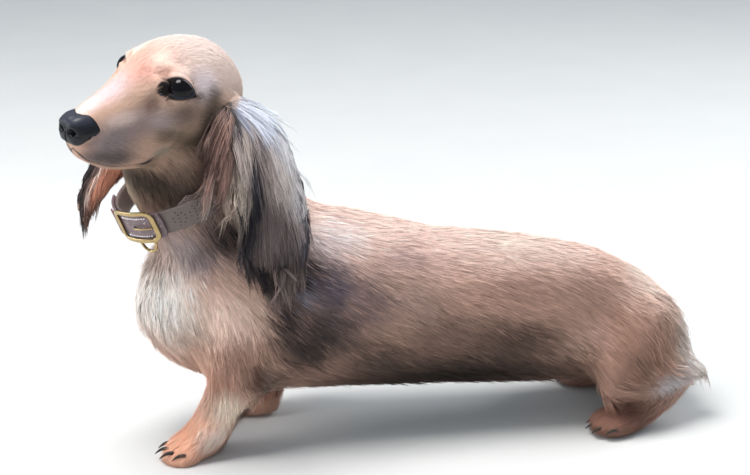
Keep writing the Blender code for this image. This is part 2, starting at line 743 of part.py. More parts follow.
def centre_on_origin(objects):
    """Moves the model so that the middle of its box lies on the origin's axis."""
    points = np.array([v.co for obj in objects for v in obj.data.vertices])
    middle = (points.min(axis=0) + points.max(axis=0)) / 2
    for obj in objects:
        obj.data.transform(Matrix.Translation((-middle[0], -middle[1], 0)))


def dress(objects):
    """Gives every piece the material of its kind."""
    coat = material("coat", COAT, 0.75)
    kinds = (
        ("ear", material("ear_coat", EAR_COAT, 0.75)),
        ("eye", material("eye", EYE_BROWN, 0.05)),
        ("nose", material("nose_leather", BLACK_LEATHER, 0.45)),
        ("claw", material("claw", CLAW_HORN, 0.4)),
        ("collar_strap", material("strap_leather", ROSE_LEATHER, 0.5)),
        ("collar_tongue", bpy.data.materials["strap_leather"]),
        ("collar_keeper", bpy.data.materials["strap_leather"]),
        ("collar", material("gold", GOLD, 0.25, 1.0)),
    )
    for obj in objects:
        look = next((made for start, made in kinds if obj.name.startswith(start)), coat)
        finished(obj, look)


clear_scene()
PARTS = collection("dachshund")
CUTTERS = collection("cutters")     # shapes that cut other pieces, kept out of renders
WORK = collection("work")           # soft masses before they are welded; empty at the end
CUTTERS.hide_render = True

build()
for cutter in CUTTERS.objects:
    cutter.hide_render = True
    cutter.display_type = "WIRE"
dress(PARTS.objects)
centre_on_origin(PARTS.objects)
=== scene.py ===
"""The looks of a long-haired miniature dachshund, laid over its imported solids.

One skin takes the place of the flesh nodes and lies inside them by the coat's depth.
The coat is made of closed, tapering tufts that grow from the skin along a combed
field.  Eyes, lids, nose, claws and the collar are pieces of their own.
Tables are in millimetres in the frame in which the dog was measured; MIDDLE is where
the middle of its box lies in that frame.
"""

import math
from functools import partial

import bmesh
import bpy
import numpy as np
from mathutils import Matrix, Vector


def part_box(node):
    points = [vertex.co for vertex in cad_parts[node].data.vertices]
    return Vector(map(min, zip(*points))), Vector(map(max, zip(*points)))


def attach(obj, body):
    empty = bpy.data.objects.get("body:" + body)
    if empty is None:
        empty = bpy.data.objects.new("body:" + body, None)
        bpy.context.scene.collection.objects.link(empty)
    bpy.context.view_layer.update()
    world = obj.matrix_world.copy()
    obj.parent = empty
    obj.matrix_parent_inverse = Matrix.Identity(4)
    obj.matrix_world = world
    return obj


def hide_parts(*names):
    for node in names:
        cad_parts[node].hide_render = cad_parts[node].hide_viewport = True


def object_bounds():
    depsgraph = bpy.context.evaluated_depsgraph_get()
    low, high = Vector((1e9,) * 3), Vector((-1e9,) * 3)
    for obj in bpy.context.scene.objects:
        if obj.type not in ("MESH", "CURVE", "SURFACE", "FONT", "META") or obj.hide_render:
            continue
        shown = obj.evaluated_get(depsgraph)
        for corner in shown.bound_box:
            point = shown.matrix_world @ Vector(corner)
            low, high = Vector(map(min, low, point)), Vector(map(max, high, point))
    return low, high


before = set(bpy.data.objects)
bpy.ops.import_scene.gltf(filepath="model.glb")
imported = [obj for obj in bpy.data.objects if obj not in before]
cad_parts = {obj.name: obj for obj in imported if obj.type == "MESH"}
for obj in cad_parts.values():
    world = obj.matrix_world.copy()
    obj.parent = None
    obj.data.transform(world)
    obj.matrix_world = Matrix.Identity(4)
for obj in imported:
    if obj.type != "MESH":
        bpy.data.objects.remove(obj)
CAD_BOX = [list(corner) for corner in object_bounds()]

MM = 0.001
MIDDLE = np.array((3.806, 9.732, 0.0))
RANDOM = np.random.default_rng(7)

FLESH = ("head", "neck", "trunk", "tail", "foreleg_left", "foreleg_right", "forepaw_left",
         "forepaw_right", "hindleg_left", "hindleg_right", "hindpaw_left", "hindpaw_right")

# ---------------------------------------------------------------- the head's own frame
HEAD_YAW, HEAD_PITCH, HEAD_ROLL = 34.0, -4.0, 8.0
EYE_AT = np.array((-5.0, 25.5, -0.5))
EYE_RADIUS = 9.6


def turn(axis, degrees):
    """The 3 by 3 matrix that turns about one axis."""
    return np.array(Matrix.Rotation(math.radians(degrees), 3, axis))


HEAD_TURN = (np.diag((-1.0, -1.0, 1.0)) @ turn("Z", HEAD_YAW) @ turn("Y", -HEAD_PITCH)
             @ turn("X", -HEAD_ROLL))
EYE_MIDDLE = (np.array([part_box(n) for n in ("eye_left", "eye_right")]).mean(axis=(0, 1))) / MM
HEAD_AT = EYE_MIDDLE - HEAD_TURN @ (EYE_AT * (1, 0, 1))


def from_head(local):
    """Points given as forward, left, up in the head's frame, in the row frame in mm."""
    return np.asarray(local, float) @ HEAD_TURN.T + HEAD_AT


def to_head(points):
    """Row-frame points in mm as forward, left, up from between the eyes."""
    return (points - HEAD_AT) @ HEAD_TURN


def row(points):
    """Points of the measuring frame in the row frame, both in mm."""
    return np.asarray(points, float) - MIDDLE


def unit(vectors):
    """Vectors scaled to length 1."""
    return vectors / np.maximum(np.linalg.norm(vectors, axis=-1, keepdims=True), 1e-12)


def gap_to(points, line):
    """Each point's distance from the nearest of a line's points."""
    return np.sqrt(((points[:, None] - line[None]) ** 2).sum(axis=2).min(axis=1))


def ease(x):
    """Smooth step from 0 to 1."""
    x = np.clip(x, 0, 1)
    return x * x * (3 - 2 * x)


# ---------------------------------------------------------------- meshes from arrays
def new_piece(name, points, *faces, smooth=True):
    """A mesh object from points in mm and arrays of triangles and quads."""
    mesh = bpy.data.meshes.new(name)
    mesh.vertices.add(len(points))
    mesh.vertices.foreach_set("co", (np.asarray(points) * MM).astype(np.float32).ravel())
    corners = np.concatenate([f.ravel() for f in faces]).astype(np.int32)
    sizes = np.concatenate([np.full(len(f), f.shape[1]) for f in faces])
    starts = np.concatenate([[0], np.cumsum(sizes)[:-1]]).astype(np.int32)
    mesh.loops.add(len(corners))
    mesh.loops.foreach_set("vertex_index", corners)
    mesh.polygons.add(len(starts))
    mesh.polygons.foreach_set("loop_start", starts)
    mesh.update(calc_edges=True)
    if smooth:
        mesh.shade_smooth()
    made = bpy.data.objects.new(name, mesh)
    bpy.context.scene.collection.objects.link(made)
    return made


def read(items, key, width, kind=np.float32):
    """One property of every item of a mesh collection, as an array of rows."""
    out = np.empty(len(items) * width, kind)
    items.foreach_get(key, out)
    return out.reshape(-1, width)


def points_of(obj):
    """A mesh's points in mm."""
    return read(obj.data.vertices, "co", 3).astype(float) / MM


def move_points(obj, points):
    """Puts a mesh's points at new places, given in mm."""
    obj.data.vertices.foreach_set("co", (points * MM).astype(np.float32).ravel())
    obj.data.update()


def normals_of(obj):
    """A mesh's smooth normals, one for each point."""
    return read(obj.data.vertex_normals, "vector", 3).astype(float)


def edges_of(obj):
    """The two point numbers of every edge."""
    return read(obj.data.edges, "vertices", 2, np.int32)


def triangles_of(mesh):
    """The three point numbers of every triangle."""
    mesh.calc_loop_triangles()
    return read(mesh.loop_triangles, "vertices", 3, np.int32)


def baked(obj):
    """Applies an object's modifiers."""
    graph = bpy.context.evaluated_depsgraph_get()
    mesh = bpy.data.meshes.new_from_object(obj.evaluated_get(graph))
    obj.modifiers.clear()
    old, obj.data = obj.data, mesh
    bpy.data.meshes.remove(old)
    return obj


def put_attribute(obj, name, values, kind="FLOAT"):
    """Stores one value, vector or colour for each vertex."""
    made = obj.data.attributes.get(name) or obj.data.attributes.new(name, kind, "POINT")
    key = {"FLOAT": "value", "FLOAT_VECTOR": "vector", "FLOAT_COLOR": "color"}[kind]
    if kind == "FLOAT_COLOR":
        values = np.column_stack([values, np.ones(len(values))])
    made.data.foreach_set(key, np.asarray(values, np.float32).ravel())


def relaxed(points, edges, rounds, share, swell=0.0):
    """Moves each point towards the mean of its neighbours, by its own share, some rounds.
    With swell, every second step moves it away by that much more, which keeps the volume."""
    a, b = edges[:, 0], edges[:, 1]
    count = np.bincount(a, minlength=len(points)) + np.bincount(b, minlength=len(points))
    steps = (share, -share * (1 + swell)) if swell else (share,)
    for step in steps * rounds:
        total = np.zeros_like(points)
        for axis in range(3):
            total[:, axis] = (np.bincount(a, points[b, axis], len(points))
                              + np.bincount(b, points[a, axis], len(points)))
        points = points + step[:, None] * (total / np.maximum(count, 1)[:, None] - points)
    return points


def smooth_rows(rows, steps):
    """Rows of numbers read from a smooth (Catmull-Rom) curve through the stations."""
    rows = np.array(rows, float)
    ends = np.vstack([2 * rows[0] - rows[1], rows, 2 * rows[-1] - rows[-2]])
    at = np.linspace(0, len(rows) - 1, steps)
    i = np.minimum(at.astype(int), len(rows) - 2)
    t = (at - i)[:, None]
    a, b, c, d = ends[i], ends[i + 1], ends[i + 2], ends[i + 3]
    return 0.5 * (2 * b + (c - a) * t + (2 * a - 5 * b + 4 * c - d) * t**2
                  + (3 * b - a - 3 * c + d) * t**3)


def grid_faces(rows, columns, closed, looped=False):
    """Quads of a grid of points; closed joins its last column to its first, and looped its
    last row to its first."""
    i, j = np.meshgrid(np.arange(rows - (not looped)), np.arange(columns - (not closed)),
                       indexing="ij")
    k, below = (j + 1) % columns, (i + 1) % rows
    return np.stack([i * columns + j, i * columns + k, below * columns + k,
                     below * columns + j], -1).reshape(-1, 4)


def capped(grid):
    """Points and faces of a closed tube: a grid of rings with a fan at each end."""
    rows, columns, _ = grid.shape
    points = np.vstack([grid.reshape(-1, 3), grid[0].mean(axis=0), grid[-1].mean(axis=0)])
    k = np.arange(columns)
    n = (k + 1) % columns
    low = np.stack([np.full(columns, rows * columns), n, k], -1)
    last = (rows - 1) * columns
    high = np.stack([np.full(columns, rows * columns + 1), last + k, last + n], -1)
    return points, grid_faces(rows, columns, True), np.vstack([low, high])


def outward(points, quads, tris):
    """Turns every face round if the closed mesh is inside out."""
    corners = np.vstack([quads[:, [0, 1, 2]], quads[:, [0, 2, 3]], tris.reshape(-1, 3)])
    a, b, c = points[corners[:, 0]], points[corners[:, 1]], points[corners[:, 2]]
    if np.einsum("ij,ij->", a, np.cross(b, c)) < 0:
        return quads[:, ::-1], tris[:, ::-1]
    return quads, tris


NO_TRIANGLES = np.zeros((0, 3), int)
NO_QUADS = np.zeros((0, 4), int)


def joined(shells):
    """Several shells of points, quads and triangles as the arrays of one mesh."""
    points, quads, tris, start = [], [], [], 0
    for co, q, t in shells:
        q, t = outward(co, q, t)
        points.append(co)
        quads.append(q + start)
        tris.append(t + start)
        start += len(co)
    return np.vstack(points), np.vstack(quads), np.vstack(tris)


def closed_piece(name, points, quads, tris=NO_TRIANGLES):
    """A mesh object from one closed shell, with its faces turned outwards."""
    return new_piece(name, points, *outward(points, quads, tris))


def ring_piece(name, grid):
    """A mesh object from a grid of points that closes on itself both ways."""
    rows, columns, _ = grid.shape
    return closed_piece(name, grid.reshape(-1, 3), grid_faces(rows, columns, True, looped=True))


def circle(count):
    """Angles spread evenly round a full turn."""
    return np.linspace(0, 2 * math.pi, count, endpoint=False)


def tube(centres, radius, sides=10):
    """A closed round tube along a line of points, with a radius for each."""
    centres = np.asarray(centres, float)
    way = unit(np.gradient(centres, axis=0))
    level = np.where(np.abs(way[:, 2:]) > 0.9, np.array((1.0, 0, 0)), np.array((0, 0, 1.0)))
    across = unit(np.cross(way, level))
    lift = np.cross(across, way)
    angle = np.linspace(0, 2 * math.pi, sides, endpoint=False)
    ring = across[:, None] * np.cos(angle)[:, None] + lift[:, None] * np.sin(angle)[:, None]
    size = np.broadcast_to(np.asarray(radius, float), (len(centres),))
    return capped(centres[:, None] + ring * size[:, None, None])


def many_of(shape, places, axes):
    """Copies of one small closed shell, each at its place and turned by its own axes.

    shape is (points, quads, tris); axes is one 3 by 3 matrix of columns for each copy."""
    points, quads, tris = shape
    quads, tris = outward(points, quads, tris)
    count, each = len(places), len(points)
    co = places[:, None] + np.einsum("nij,kj->nki", axes, points)
    shift = (np.arange(count) * each)[:, None, None]
    return (co.reshape(-1, 3), (quads[None] + shift).reshape(-1, 4),
            (tris[None] + shift).reshape(-1, 3))


def lens(radius, height, sides=10):
    """A small closed dome: a low ring and a raised one, capped at both ends."""
    angle = np.linspace(0, 2 * math.pi, sides, endpoint=False)
    round_ = np.column_stack([np.cos(angle), np.sin(angle), np.zeros(sides)])
    lift = np.array((0, 0, 1.0))
    rings = [round_ * radius - lift * height * 0.6, round_ * radius,
             round_ * radius * 0.62 + lift * height]
    return capped(np.array(rings))


# ---------------------------------------------------------------- ears
# centre line x, y, z, half width, half thickness, curl of its edges
EAR_LEFT = (
    (-114, -40, 253, 9, 3.2, 0.0),
    (-105, -51, 244, 15, 3.0, 1.0),
    (-97, -59, 230, 18, 2.6, 3.0),
    (-92, -62.5, 211, 21, 2.4, 5.0),
    (-89, -64, 190, 23, 2.3, 6.0),
    (-87, -63, 168, 23, 2.2, 6.0),
    (-85, -61, 152, 17, 2.0, 4.0),
    (-85, -60, 144, 8, 1.6, 1.0),
)
FOLD_LEFT = (
    (-113, -46, 245, 8, 3.0, 0.0),
    (-115, -55, 231, 10, 2.6, 0.0),
    (-118, -60, 212, 11, 2.4, 0.0),
    (-121, -61, 198, 9, 2.2, 0.0),
    (-122, -60, 190, 5, 1.8, 0.0),
)
EAR_RIGHT = (
    (-147, 8, 268, 10, 3.2, 0.0),
    (-149, 21, 262, 15, 3.0, 1.0),
    (-156, 31, 245, 17, 2.6, 2.0),
    (-167, 32, 226, 17, 2.4, 3.0),
    (-181, 26.5, 207, 15, 2.3, 4.0),
    (-194, 20.5, 190, 11, 2.0, 4.0),
    (-203, 17, 175, 8, 1.8, 3.0),
    (-206, 16, 163, 3.5, 1.5, 1.0),
)


def ear_grid(rows, curl, steps, sides):
    """Rings of a hanging flap: each is a flat ellipse square to the ear's centre line,
    bent so that its two edges lie towards the head by the curl."""
    table = smooth_rows(rows, steps)
    centres = row(table[:, :3])
    along = unit(np.gradient(centres, axis=0))
    across = unit(np.array((1.0, 0, 0)) - along * along[:, :1])
    deep = np.cross(along, across)
    deep *= np.where(deep @ np.array(curl, float) < 0, -1.0, 1.0)[:, None]
    angle = np.linspace(0, 2 * math.pi, sides, endpoint=False)
    c, s = np.cos(angle)[None, :, None], np.sin(angle)[None, :, None]
    wide, thick, bend = (table[:, k][:, None, None] for k in (3, 4, 5))
    return (centres[:, None] + across[:, None] * wide * c
            + deep[:, None] * (thick * s - bend * c * c))


EAR_LINES = {"ear_left": (EAR_LEFT, FOLD_LEFT), "ear_right": (EAR_RIGHT,)}
# which way each ear's edges curl, and into how many parts each flap is cut down and round
EAR_CURL = {"ear_left": (0, 1, 0), "ear_right": (0, -1, 0)}
EAR_CUTS = {"ear_left": ((60, 32), (36, 24)), "ear_right": ((60, 28),)}
EAR_GRIDS = {name: [ear_grid(rows, EAR_CURL[name], *cuts)
                    for rows, cuts in zip(EAR_LINES[name], EAR_CUTS[name])]
             for name in EAR_LINES}


# ---------------------------------------------------------------- soft patches
def patch(points, centre, half, power=3.0):
    """1 at a patch's centre, a half at its half sizes, and 0 soon outside them."""
    d = np.linalg.norm((points - centre) / half, axis=1)
    return np.exp(-np.log(2) * d ** power)


# how deep the coat is, in mm: the whole body first, then soft patches over it.  Each row
# is a frame (see placed), centre, half sizes and depth
DEPTH_BASE = 2.0
DEPTHS = (
    ("head", (0, 0, -20), (75, 50, 55), 0.9),
    ("head", (45, 0, -25), (30, 30, 35), 0.5),
    ("body", (-150, -5, 150), (35, 50, 40), 3.0),
    ("body", (-165, -14, 200), (26, 40, 22), 1.2),
    ("both", (-170, -8, 105), (20, 30, 30), 4.2),
    ("both", (-118, -42, 45), (16, 16, 30), 1.6),
    ("both", (-88, -46, 58), (10, 14, 22), 4.0),
    ("both", (-145, -38, 10), (35, 30, 22), 0.7),
    ("both", (165, -45, 12), (40, 28, 20), 0.8),
    ("both", (180, -45, 38), (45, 22, 16), 1.6),
    ("both", (212, -20, 55), (20, 25, 25), 3.8),
    ("body", (170, 75, 12), (70, 30, 20), 3.8),
)
RIGHT_FORE_STEP = 47.0


def placed(kind, points):
    """The points in the frame that a table's row is written in, in mm.

    "head" is the head's own frame, and "face" folds its right side on to its left;
    "body" is the measuring frame, and "both" folds the body's right side on to its left,
    where the right foreleg stands further back; an ear's name is that ear's own chart."""
    if kind in ("head", "face"):
        local = to_head(points)
        if kind == "face":
            local[:, 1] = np.abs(local[:, 1])
        return local
    if kind == "ear_right":
        _, down, across, _, _ = ear_place(points, kind)
        return np.column_stack([down, across])
    body = points + MIDDLE
    if kind == "ear_left":
        return body[:, [0, 2]]
    if kind == "both":
        side = body[:, 1] > 0
        body = body * np.where(side, -1.0, 1.0)[:, None] ** np.array((0, 1, 0))
        low = ease((95 - body[:, 2]) / 30) * (body[:, 0] < 40)
        body[:, 0] -= np.where(side, RIGHT_FORE_STEP * low, 0)
    return body


def layered(base, rows, points):
    """Soft patches laid over a base, one after another: each row moves what is there
    towards its own value by its patch, times its strength if it has one."""
    found = np.tile(base, (len(points), 1))
    places = {}
    for kind, centre, half, value, *strength in rows:
        if kind not in places:
            places[kind] = placed(kind, points)
        share = math.prod(strength) * patch(places[kind], centre, half)
        found += share[:, None] * (value - found)
    return found


def coat_depth(points):
    """How far the skin lies under the coat's tips."""
    return layered(DEPTH_BASE, DEPTHS, points)[:, 0]


# ---------------------------------------------------------------- the skin
def solid_arrays(names):
    """Merged points in mm and triangles of several solid nodes."""
    points, faces, start = [], [], 0
    for name in names:
        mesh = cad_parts[name].data
        points.append(read(mesh.vertices, "co", 3) / MM)
        faces.append(triangles_of(mesh) + start)
        start += len(mesh.vertices)
    points, faces = np.vstack(points), np.vstack(faces)
    _, first, index = np.unique(np.round(points, 3), axis=0, return_index=True,
                                return_inverse=True)
    faces = index.reshape(-1)[faces]
    whole = ((faces[:, 0] != faces[:, 1]) & (faces[:, 1] != faces[:, 2])
             & (faces[:, 0] != faces[:, 2]))
    return points[first], faces[whole]


def largest_part(obj):
    """Keeps only the biggest connected part of a mesh."""
    edges, label = edges_of(obj), np.arange(len(obj.data.vertices))
    while True:
        low = np.minimum(label[edges[:, 0]], label[edges[:, 1]])
        fresh = label.copy()
        np.minimum.at(fresh, edges[:, 0], low)
        np.minimum.at(fresh, edges[:, 1], low)
        fresh = fresh[fresh]
        if (fresh == label).all():
            break
        label = fresh
    keep = label == np.bincount(label).argmax()
    tris = triangles_of(obj.data)
    tris = tris[keep[tris].all(axis=1)]
    order = np.cumsum(keep) - 1
    made = new_piece(obj.name + "_part", points_of(obj)[keep], order[tris])
    bpy.data.objects.remove(obj)
    return made


def remeshed(obj, voxel):
    """Welds closed shells into one surface of even quads."""
    weld = obj.modifiers.new("Weld", "REMESH")
    weld.mode = "VOXEL"
    weld.voxel_size = voxel * MM
    return baked(obj)


EYE_SIDES = {1.0: "left", -1.0: "right"}
EYEBALL = EYE_RADIUS - 0.35         # the ball drawn, a little inside its solid
GAZE = unit(np.array((0.66, 0.63, 0.41)))
# round the eye in degrees (0 towards the nose, 90 up): how far from the gaze the lids'
# edge lies, and how wide the black rim is outside it
LIDS = ((15, 76), (30, 70), (46, 60), (76, 45), (115, 37), (158, 41), (192, 54), (216, 72),
        (232, 62), (264, 40), (319, 35), (350, 48), (3, 66))
RIMS = ((15, 8), (46, 4), (76, 2.5), (105, 2), (140, 2), (170, 2.5), (195, 4), (222, 8),
        (242, 10), (262, 12), (297, 13), (335, 13), (3, 11))
# the dark skin round the eye, seen along the gaze: turn in degrees, reach in mm
EYE_SHADE = ((14.7, 14.3), (27.5, 13.6), (46.8, 11.2), (69.3, 9.0), (98.7, 7.6), (145, 7.0),
             (181.5, 7.7), (210.7, 9.8), (224.7, 11.6), (232.4, 10.8), (255.3, 8.9),
             (292.8, 8.0), (330.8, 9.3), (352.4, 11.3), (4.2, 13.6))


def round_table(table, around):
    """Degrees from a table, read round the circle along a smooth curve, in radians."""
    rows = np.array(sorted(table), float)
    rows = np.vstack([rows[-2:] - (360, 0), rows, rows[:3] + (360, 0)])
    fine = smooth_rows(rows, 400)
    return np.radians(np.interp(np.degrees(around) % 360, fine[:, 0], fine[:, 1]))


def eye_at(side):
    """An eye's middle in the head's frame; the dog's right eye sits a little lower."""
    return EYE_AT * (1, side, 1) - (0, 0, 0.8 * (1 - side))


def eye_shade(points):
    """1 in the dark skin round each eye and in its inner corner, 0 outside it."""
    found = np.zeros(len(points))
    for side in EYE_SIDES:
        local = to_head(points) - eye_at(side)
        gaze, ahead, up = eye_axes(side)
        a, b, deep = local @ ahead, local @ up, local @ gaze
        reach = np.degrees(round_table(EYE_SHADE, np.arctan2(b, a)))
        dark = ease((reach - np.hypot(a, b)) / 1.6 + 0.5) * ease((deep + 15) / 3)
        found = np.maximum(found, dark)
    return found


def eye_axes(side):
    """The gaze, the direction towards the nose across it, and up across it."""
    gaze = GAZE * (1, side, 1)
    ahead = unit(np.array((1.0, 0, 0)) - gaze * gaze[0])
    up = np.cross(ahead, gaze) * side
    return gaze, ahead, up


def eye_polar(points, side):
    """Distance from an eye's middle, angle off its gaze, and turn about the gaze."""
    local = to_head(points) - eye_at(side)
    gaze, ahead, up = eye_axes(side)
    radius = np.linalg.norm(local, axis=1)
    off = np.arccos(np.clip(local @ gaze / np.maximum(radius, 1e-6), -1, 1))
    around = np.arctan2(local @ up, local @ ahead)
    return radius, off, around


def eye_place(side, off, around, radius):
    """The point at a distance from an eye's middle, an angle off its gaze and a turn."""
    gaze, ahead, up = eye_axes(side)
    off, around, radius = (np.asarray(v)[..., None] for v in (off, around, radius))
    way = np.cos(off) * gaze + np.sin(off) * (np.cos(around) * ahead + np.sin(around) * up)
    return from_head(eye_at(side) + way * radius)


# the edge of the upper lip from the middle to the corner of the mouth: forward, left, up
LIP = ((63.5, 0, -33.2), (61.8, 3, -34.9), (59, 6, -37.0), (55.9, 9, -39.4),
       (51.5, 12.3, -42.4), (46, 14, -45.3), (36, 15.8, -47.9), (29.6, 17, -48.2),
       (24, 19, -48.6), (20, 20.5, -48.6), (16, 21.5, -48.2))
# how far the lower edge of the lips swells outwards and down, by distance forward
JOWL = ((0, 1.0), (8, 3.2), (14, 5.0), (20, 5.6), (28, 4.4), (38, 3.5), (46, 3.0), (54, 1.6),
        (60, 0.6), (66, 0.0))
# the nose leather's edge by the turn about its middle (0 to the side, 90 up): how far
# forward it lies, and how far from the middle
NOSE_AT = np.array((55.0, 0.0, -19.0))
NOSE_TIP = 67.2
NOSE_EDGE = ((-90, 64.8, 9.3), (-71, 64, 9.6), (-48, 62, 12.0), (-29, 59, 12.6), (-17, 56, 13.5),
             (-8, 52.5, 14.0), (0, 50.5, 14.0), (18, 51, 12.7), (48, 53.5, 11.8),
             (70, 56.5, 9.8), (90, 58, 9.3))


def nose_edge(local):
    """For points in the head's frame: how far they lie in front of the nose leather's
    edge, its distance from the nose's middle on their side, and their own."""
    angle = np.degrees(np.arctan2(local[..., 2] - NOSE_AT[2], np.abs(local[..., 1])))
    table = smooth_rows(NOSE_EDGE, 120)
    forward = local[..., 0] - np.interp(angle, table[:, 0], table[:, 1])
    reach = np.interp(angle, table[:, 0], table[:, 2])
    return forward, reach, np.hypot(local[..., 1], local[..., 2] - NOSE_AT[2])


def sculpt_face(points, normals):
    """Presses and lifts the head's skin: jowls, lip line, brow, stop and cheek bones."""
    local = to_head(points)
    f, l, u = local.T
    side = np.abs(l)
    # the lower edge of the lips
    low_way = np.column_stack([0 * f, np.sign(l) * 0.58, np.full(len(f), -0.81)])
    table = np.array(JOWL)
    amount = np.interp(f, table[:, 0], table[:, 1], left=0, right=0)
    level = 0.58 * side - 0.81 * u
    support = np.interp(f, (0, 18, 28, 38, 50, 60), (48, 45.4, 45.1, 43.5, 40, 35.5))
    amount *= ease((level - support + 11) / 10) * ease((-u - 22) / 10) * ease((side - 1) / 7)
    points = points + (low_way * amount[:, None]) @ HEAD_TURN.T
    f, l, u = to_head(points).T
    side = np.abs(l)
    lip = smooth_rows(LIP, 60)
    near = (f > 5) & (u < -25)
    gap = np.full(len(points), 99.0)
    gap[near] = gap_to(np.column_stack([f, side, u])[near], lip)
    push = np.zeros(len(points))
    line = np.interp(f, lip[::-1, 0], lip[::-1, 2])
    push -= 1.3 * np.exp(-(gap / 1.0) ** 2)
    push += 0.9 * np.exp(-((u - line - 4.5) / 3.4) ** 2) * ease((f - 10) / 12) * near
    push -= 0.5 * np.exp(-((u - line + 4) / 3) ** 2) * ease((f - 14) / 12) * near
    # a furrow up the middle of the forehead, and a dip in front of and under each eye
    push += 1.3 * np.exp(-(l / 17) ** 4 - ((f + 4) / 13) ** 2) * (u > 0)
    push -= 0.8 * np.exp(-(l / 3.5) ** 2 - ((f + 1) / 13) ** 2) * (u > 0)
    push -= 1.8 * np.exp(-((side - 20) / 5) ** 2 - ((f - 14) / 7) ** 2 - ((u + 9) / 6) ** 2)
    push -= 0.9 * np.exp(-((side - 22) / 6) ** 2 - ((f - 26) / 12) ** 2 - ((u + 20) / 6) ** 2)
    # the stop between the eyes falls away to each side, more on the dog's right
    stop = np.exp(-((side - 14) / 6) ** 2 - ((f - 13) / 8) ** 2) * ease((u + 1) / 5)
    push -= (2.3 - 1.5 * np.clip(l / 8, -1, 1)) * stop
    # the bone under and behind the eye
    push += 0.9 * np.exp(-((side - 31) / 8) ** 2 - ((f + 10) / 14) ** 2 - ((u + 17) / 5) ** 2)
    points = points + normals * push[:, None]
    # the skin meets the nose leather's edge, and is drawn in behind it
    local = to_head(points)
    forward, reach, far = nose_edge(local)
    meet = np.exp(-(np.minimum(forward, 0) / 3.5) ** 2) * (local[:, 0] > 40) * (far < 26)
    wanted = np.where(forward > 0, np.minimum(far, reach - 1.6 * ease(forward / 1.2)),
                      far + (reach + 0.15 - far) * meet)
    inside = (local[:, 0] > 40) & (far < 26)
    scale = np.where(inside, wanted / np.maximum(far, 1e-6), 1.0)
    local[:, 1] *= scale
    local[:, 2] = NOSE_AT[2] + (local[:, 2] - NOSE_AT[2]) * scale
    local[:, 0] -= np.where(inside & (forward > 0), np.maximum(forward - 0.8, 0), 0)
    return from_head(local)


def wrap_lids(points):
    """Carries the skin round each eye over the eyeball, and under it inside the opening.

    Outside the edge it first follows the lid, then rises to a soft fold and joins the
    face; inside the edge it drops under the eyeball.  The brow stands over it."""
    for side in EYE_SIDES:
        local = to_head(points)
        brow = np.exp(-(((local - np.array((4, side * 24, 12))) / (9, 7, 6)) ** 2).sum(axis=1))
        arch = np.exp(-(((local - np.array((-7, side * 28, 11))) / (9, 6, 6)) ** 2).sum(axis=1))
        local += ((2.5 + 0.6 * side) * brow)[:, None] * np.array((0.5, 0.15 * side, 0.85))
        local += ((1.6 + 0.6 * side) * arch)[:, None] * np.array((0.15, 0.75 * side, 0.65))
        points = from_head(local)
        radius, off, around = eye_polar(points, side)
        edge = round_table(LIDS, around)
        rim = round_table(RIMS, around)
        away = off - edge
        upper = 0.5 + 0.5 * np.sin(around + 0.2)
        fold = np.exp(-((away - rim - 0.20) / 0.13) ** 2) * (0.3 + 1.3 * upper)
        crease = np.exp(-((away - rim - 0.46) / 0.09) ** 2) * (0.2 + 0.8 * upper)
        lid = EYE_RADIUS + 0.35 + fold - 0.7 * crease
        wanted = lid + (EYE_RADIUS - 2.5 - lid) * ease((0.06 - away) / 0.10)
        # towards the nose only the skin close to the ball is carried: the bridge stands
        reach = 22 - 8.5 * ease((np.cos(around - 0.1) - 0.55) / 0.35)
        near = ease(1 - (away - rim - 0.12) / 0.50) * ease((reach - radius) / 2.5) * (off < 2.3)
        local = to_head(points) - eye_at(side)
        local = local * (1 + near * (wanted - radius) / np.maximum(radius, 1e-6))[:, None]
        points = from_head(local + eye_at(side))
    return points


def lid_surround(points):
    """1 in the skin round each eye, outside the lids' rims, and 0 elsewhere."""
    found = np.zeros(len(points))
    for side in EYE_SIDES:
        radius, off, around = eye_polar(points, side)
        away = off - round_table(LIDS, around) - round_table(RIMS, around)
        found = np.maximum(found, ease((away - 0.05) / 0.12) * ease((22 - radius) / 4))
    return found


def refined(obj, chosen):
    """Halves every edge between chosen points, and closes the faces beside them."""
    mesh = bmesh.new()
    mesh.from_mesh(obj.data)
    bmesh.ops.triangulate(mesh, faces=mesh.faces)
    mesh.verts.ensure_lookup_table()
    edges = [e for e in mesh.edges if chosen[e.verts[0].index] and chosen[e.verts[1].index]]
    bmesh.ops.subdivide_edges(mesh, edges=edges, cuts=1, use_grid_fill=True)
    bmesh.ops.triangulate(mesh, faces=mesh.faces)
    mesh.to_mesh(obj.data)
    mesh.free()
    obj.data.shade_smooth()


def cinched(points):
    """The skin drawn in under the strap at the nape: it stays inside the strap's inner
    side, and beside the strap it swells back by a slope."""
    along, out, local = collar_place(points)
    allowed = 1.1 * np.maximum(np.abs(along) - STRAP_WIDTH / 2 - 0.6, 0) - 0.8
    size = np.hypot(local[:, 0], local[:, 1])
    nape = ease((-0.1 - local[:, 0] / np.maximum(size, 1)) / 0.25) * (out < 16)
    press = np.maximum(out - allowed, 0) * nape * (np.abs(along) < 24)
    scale = 1 - press / np.maximum(size, 1)
    local[:, :2] *= scale[:, None]
    return local @ COLLAR_TURN.T + COLLAR_AT


# grain of the first weld and of the weld with the ears, and how near the eyes' middles
# the skin is cut finer once more, in mm
FIRST_GRAIN, SKIN_GRAIN, EYE_REACH = 2.5, 2.1, 18.5
SWELL = 0.06


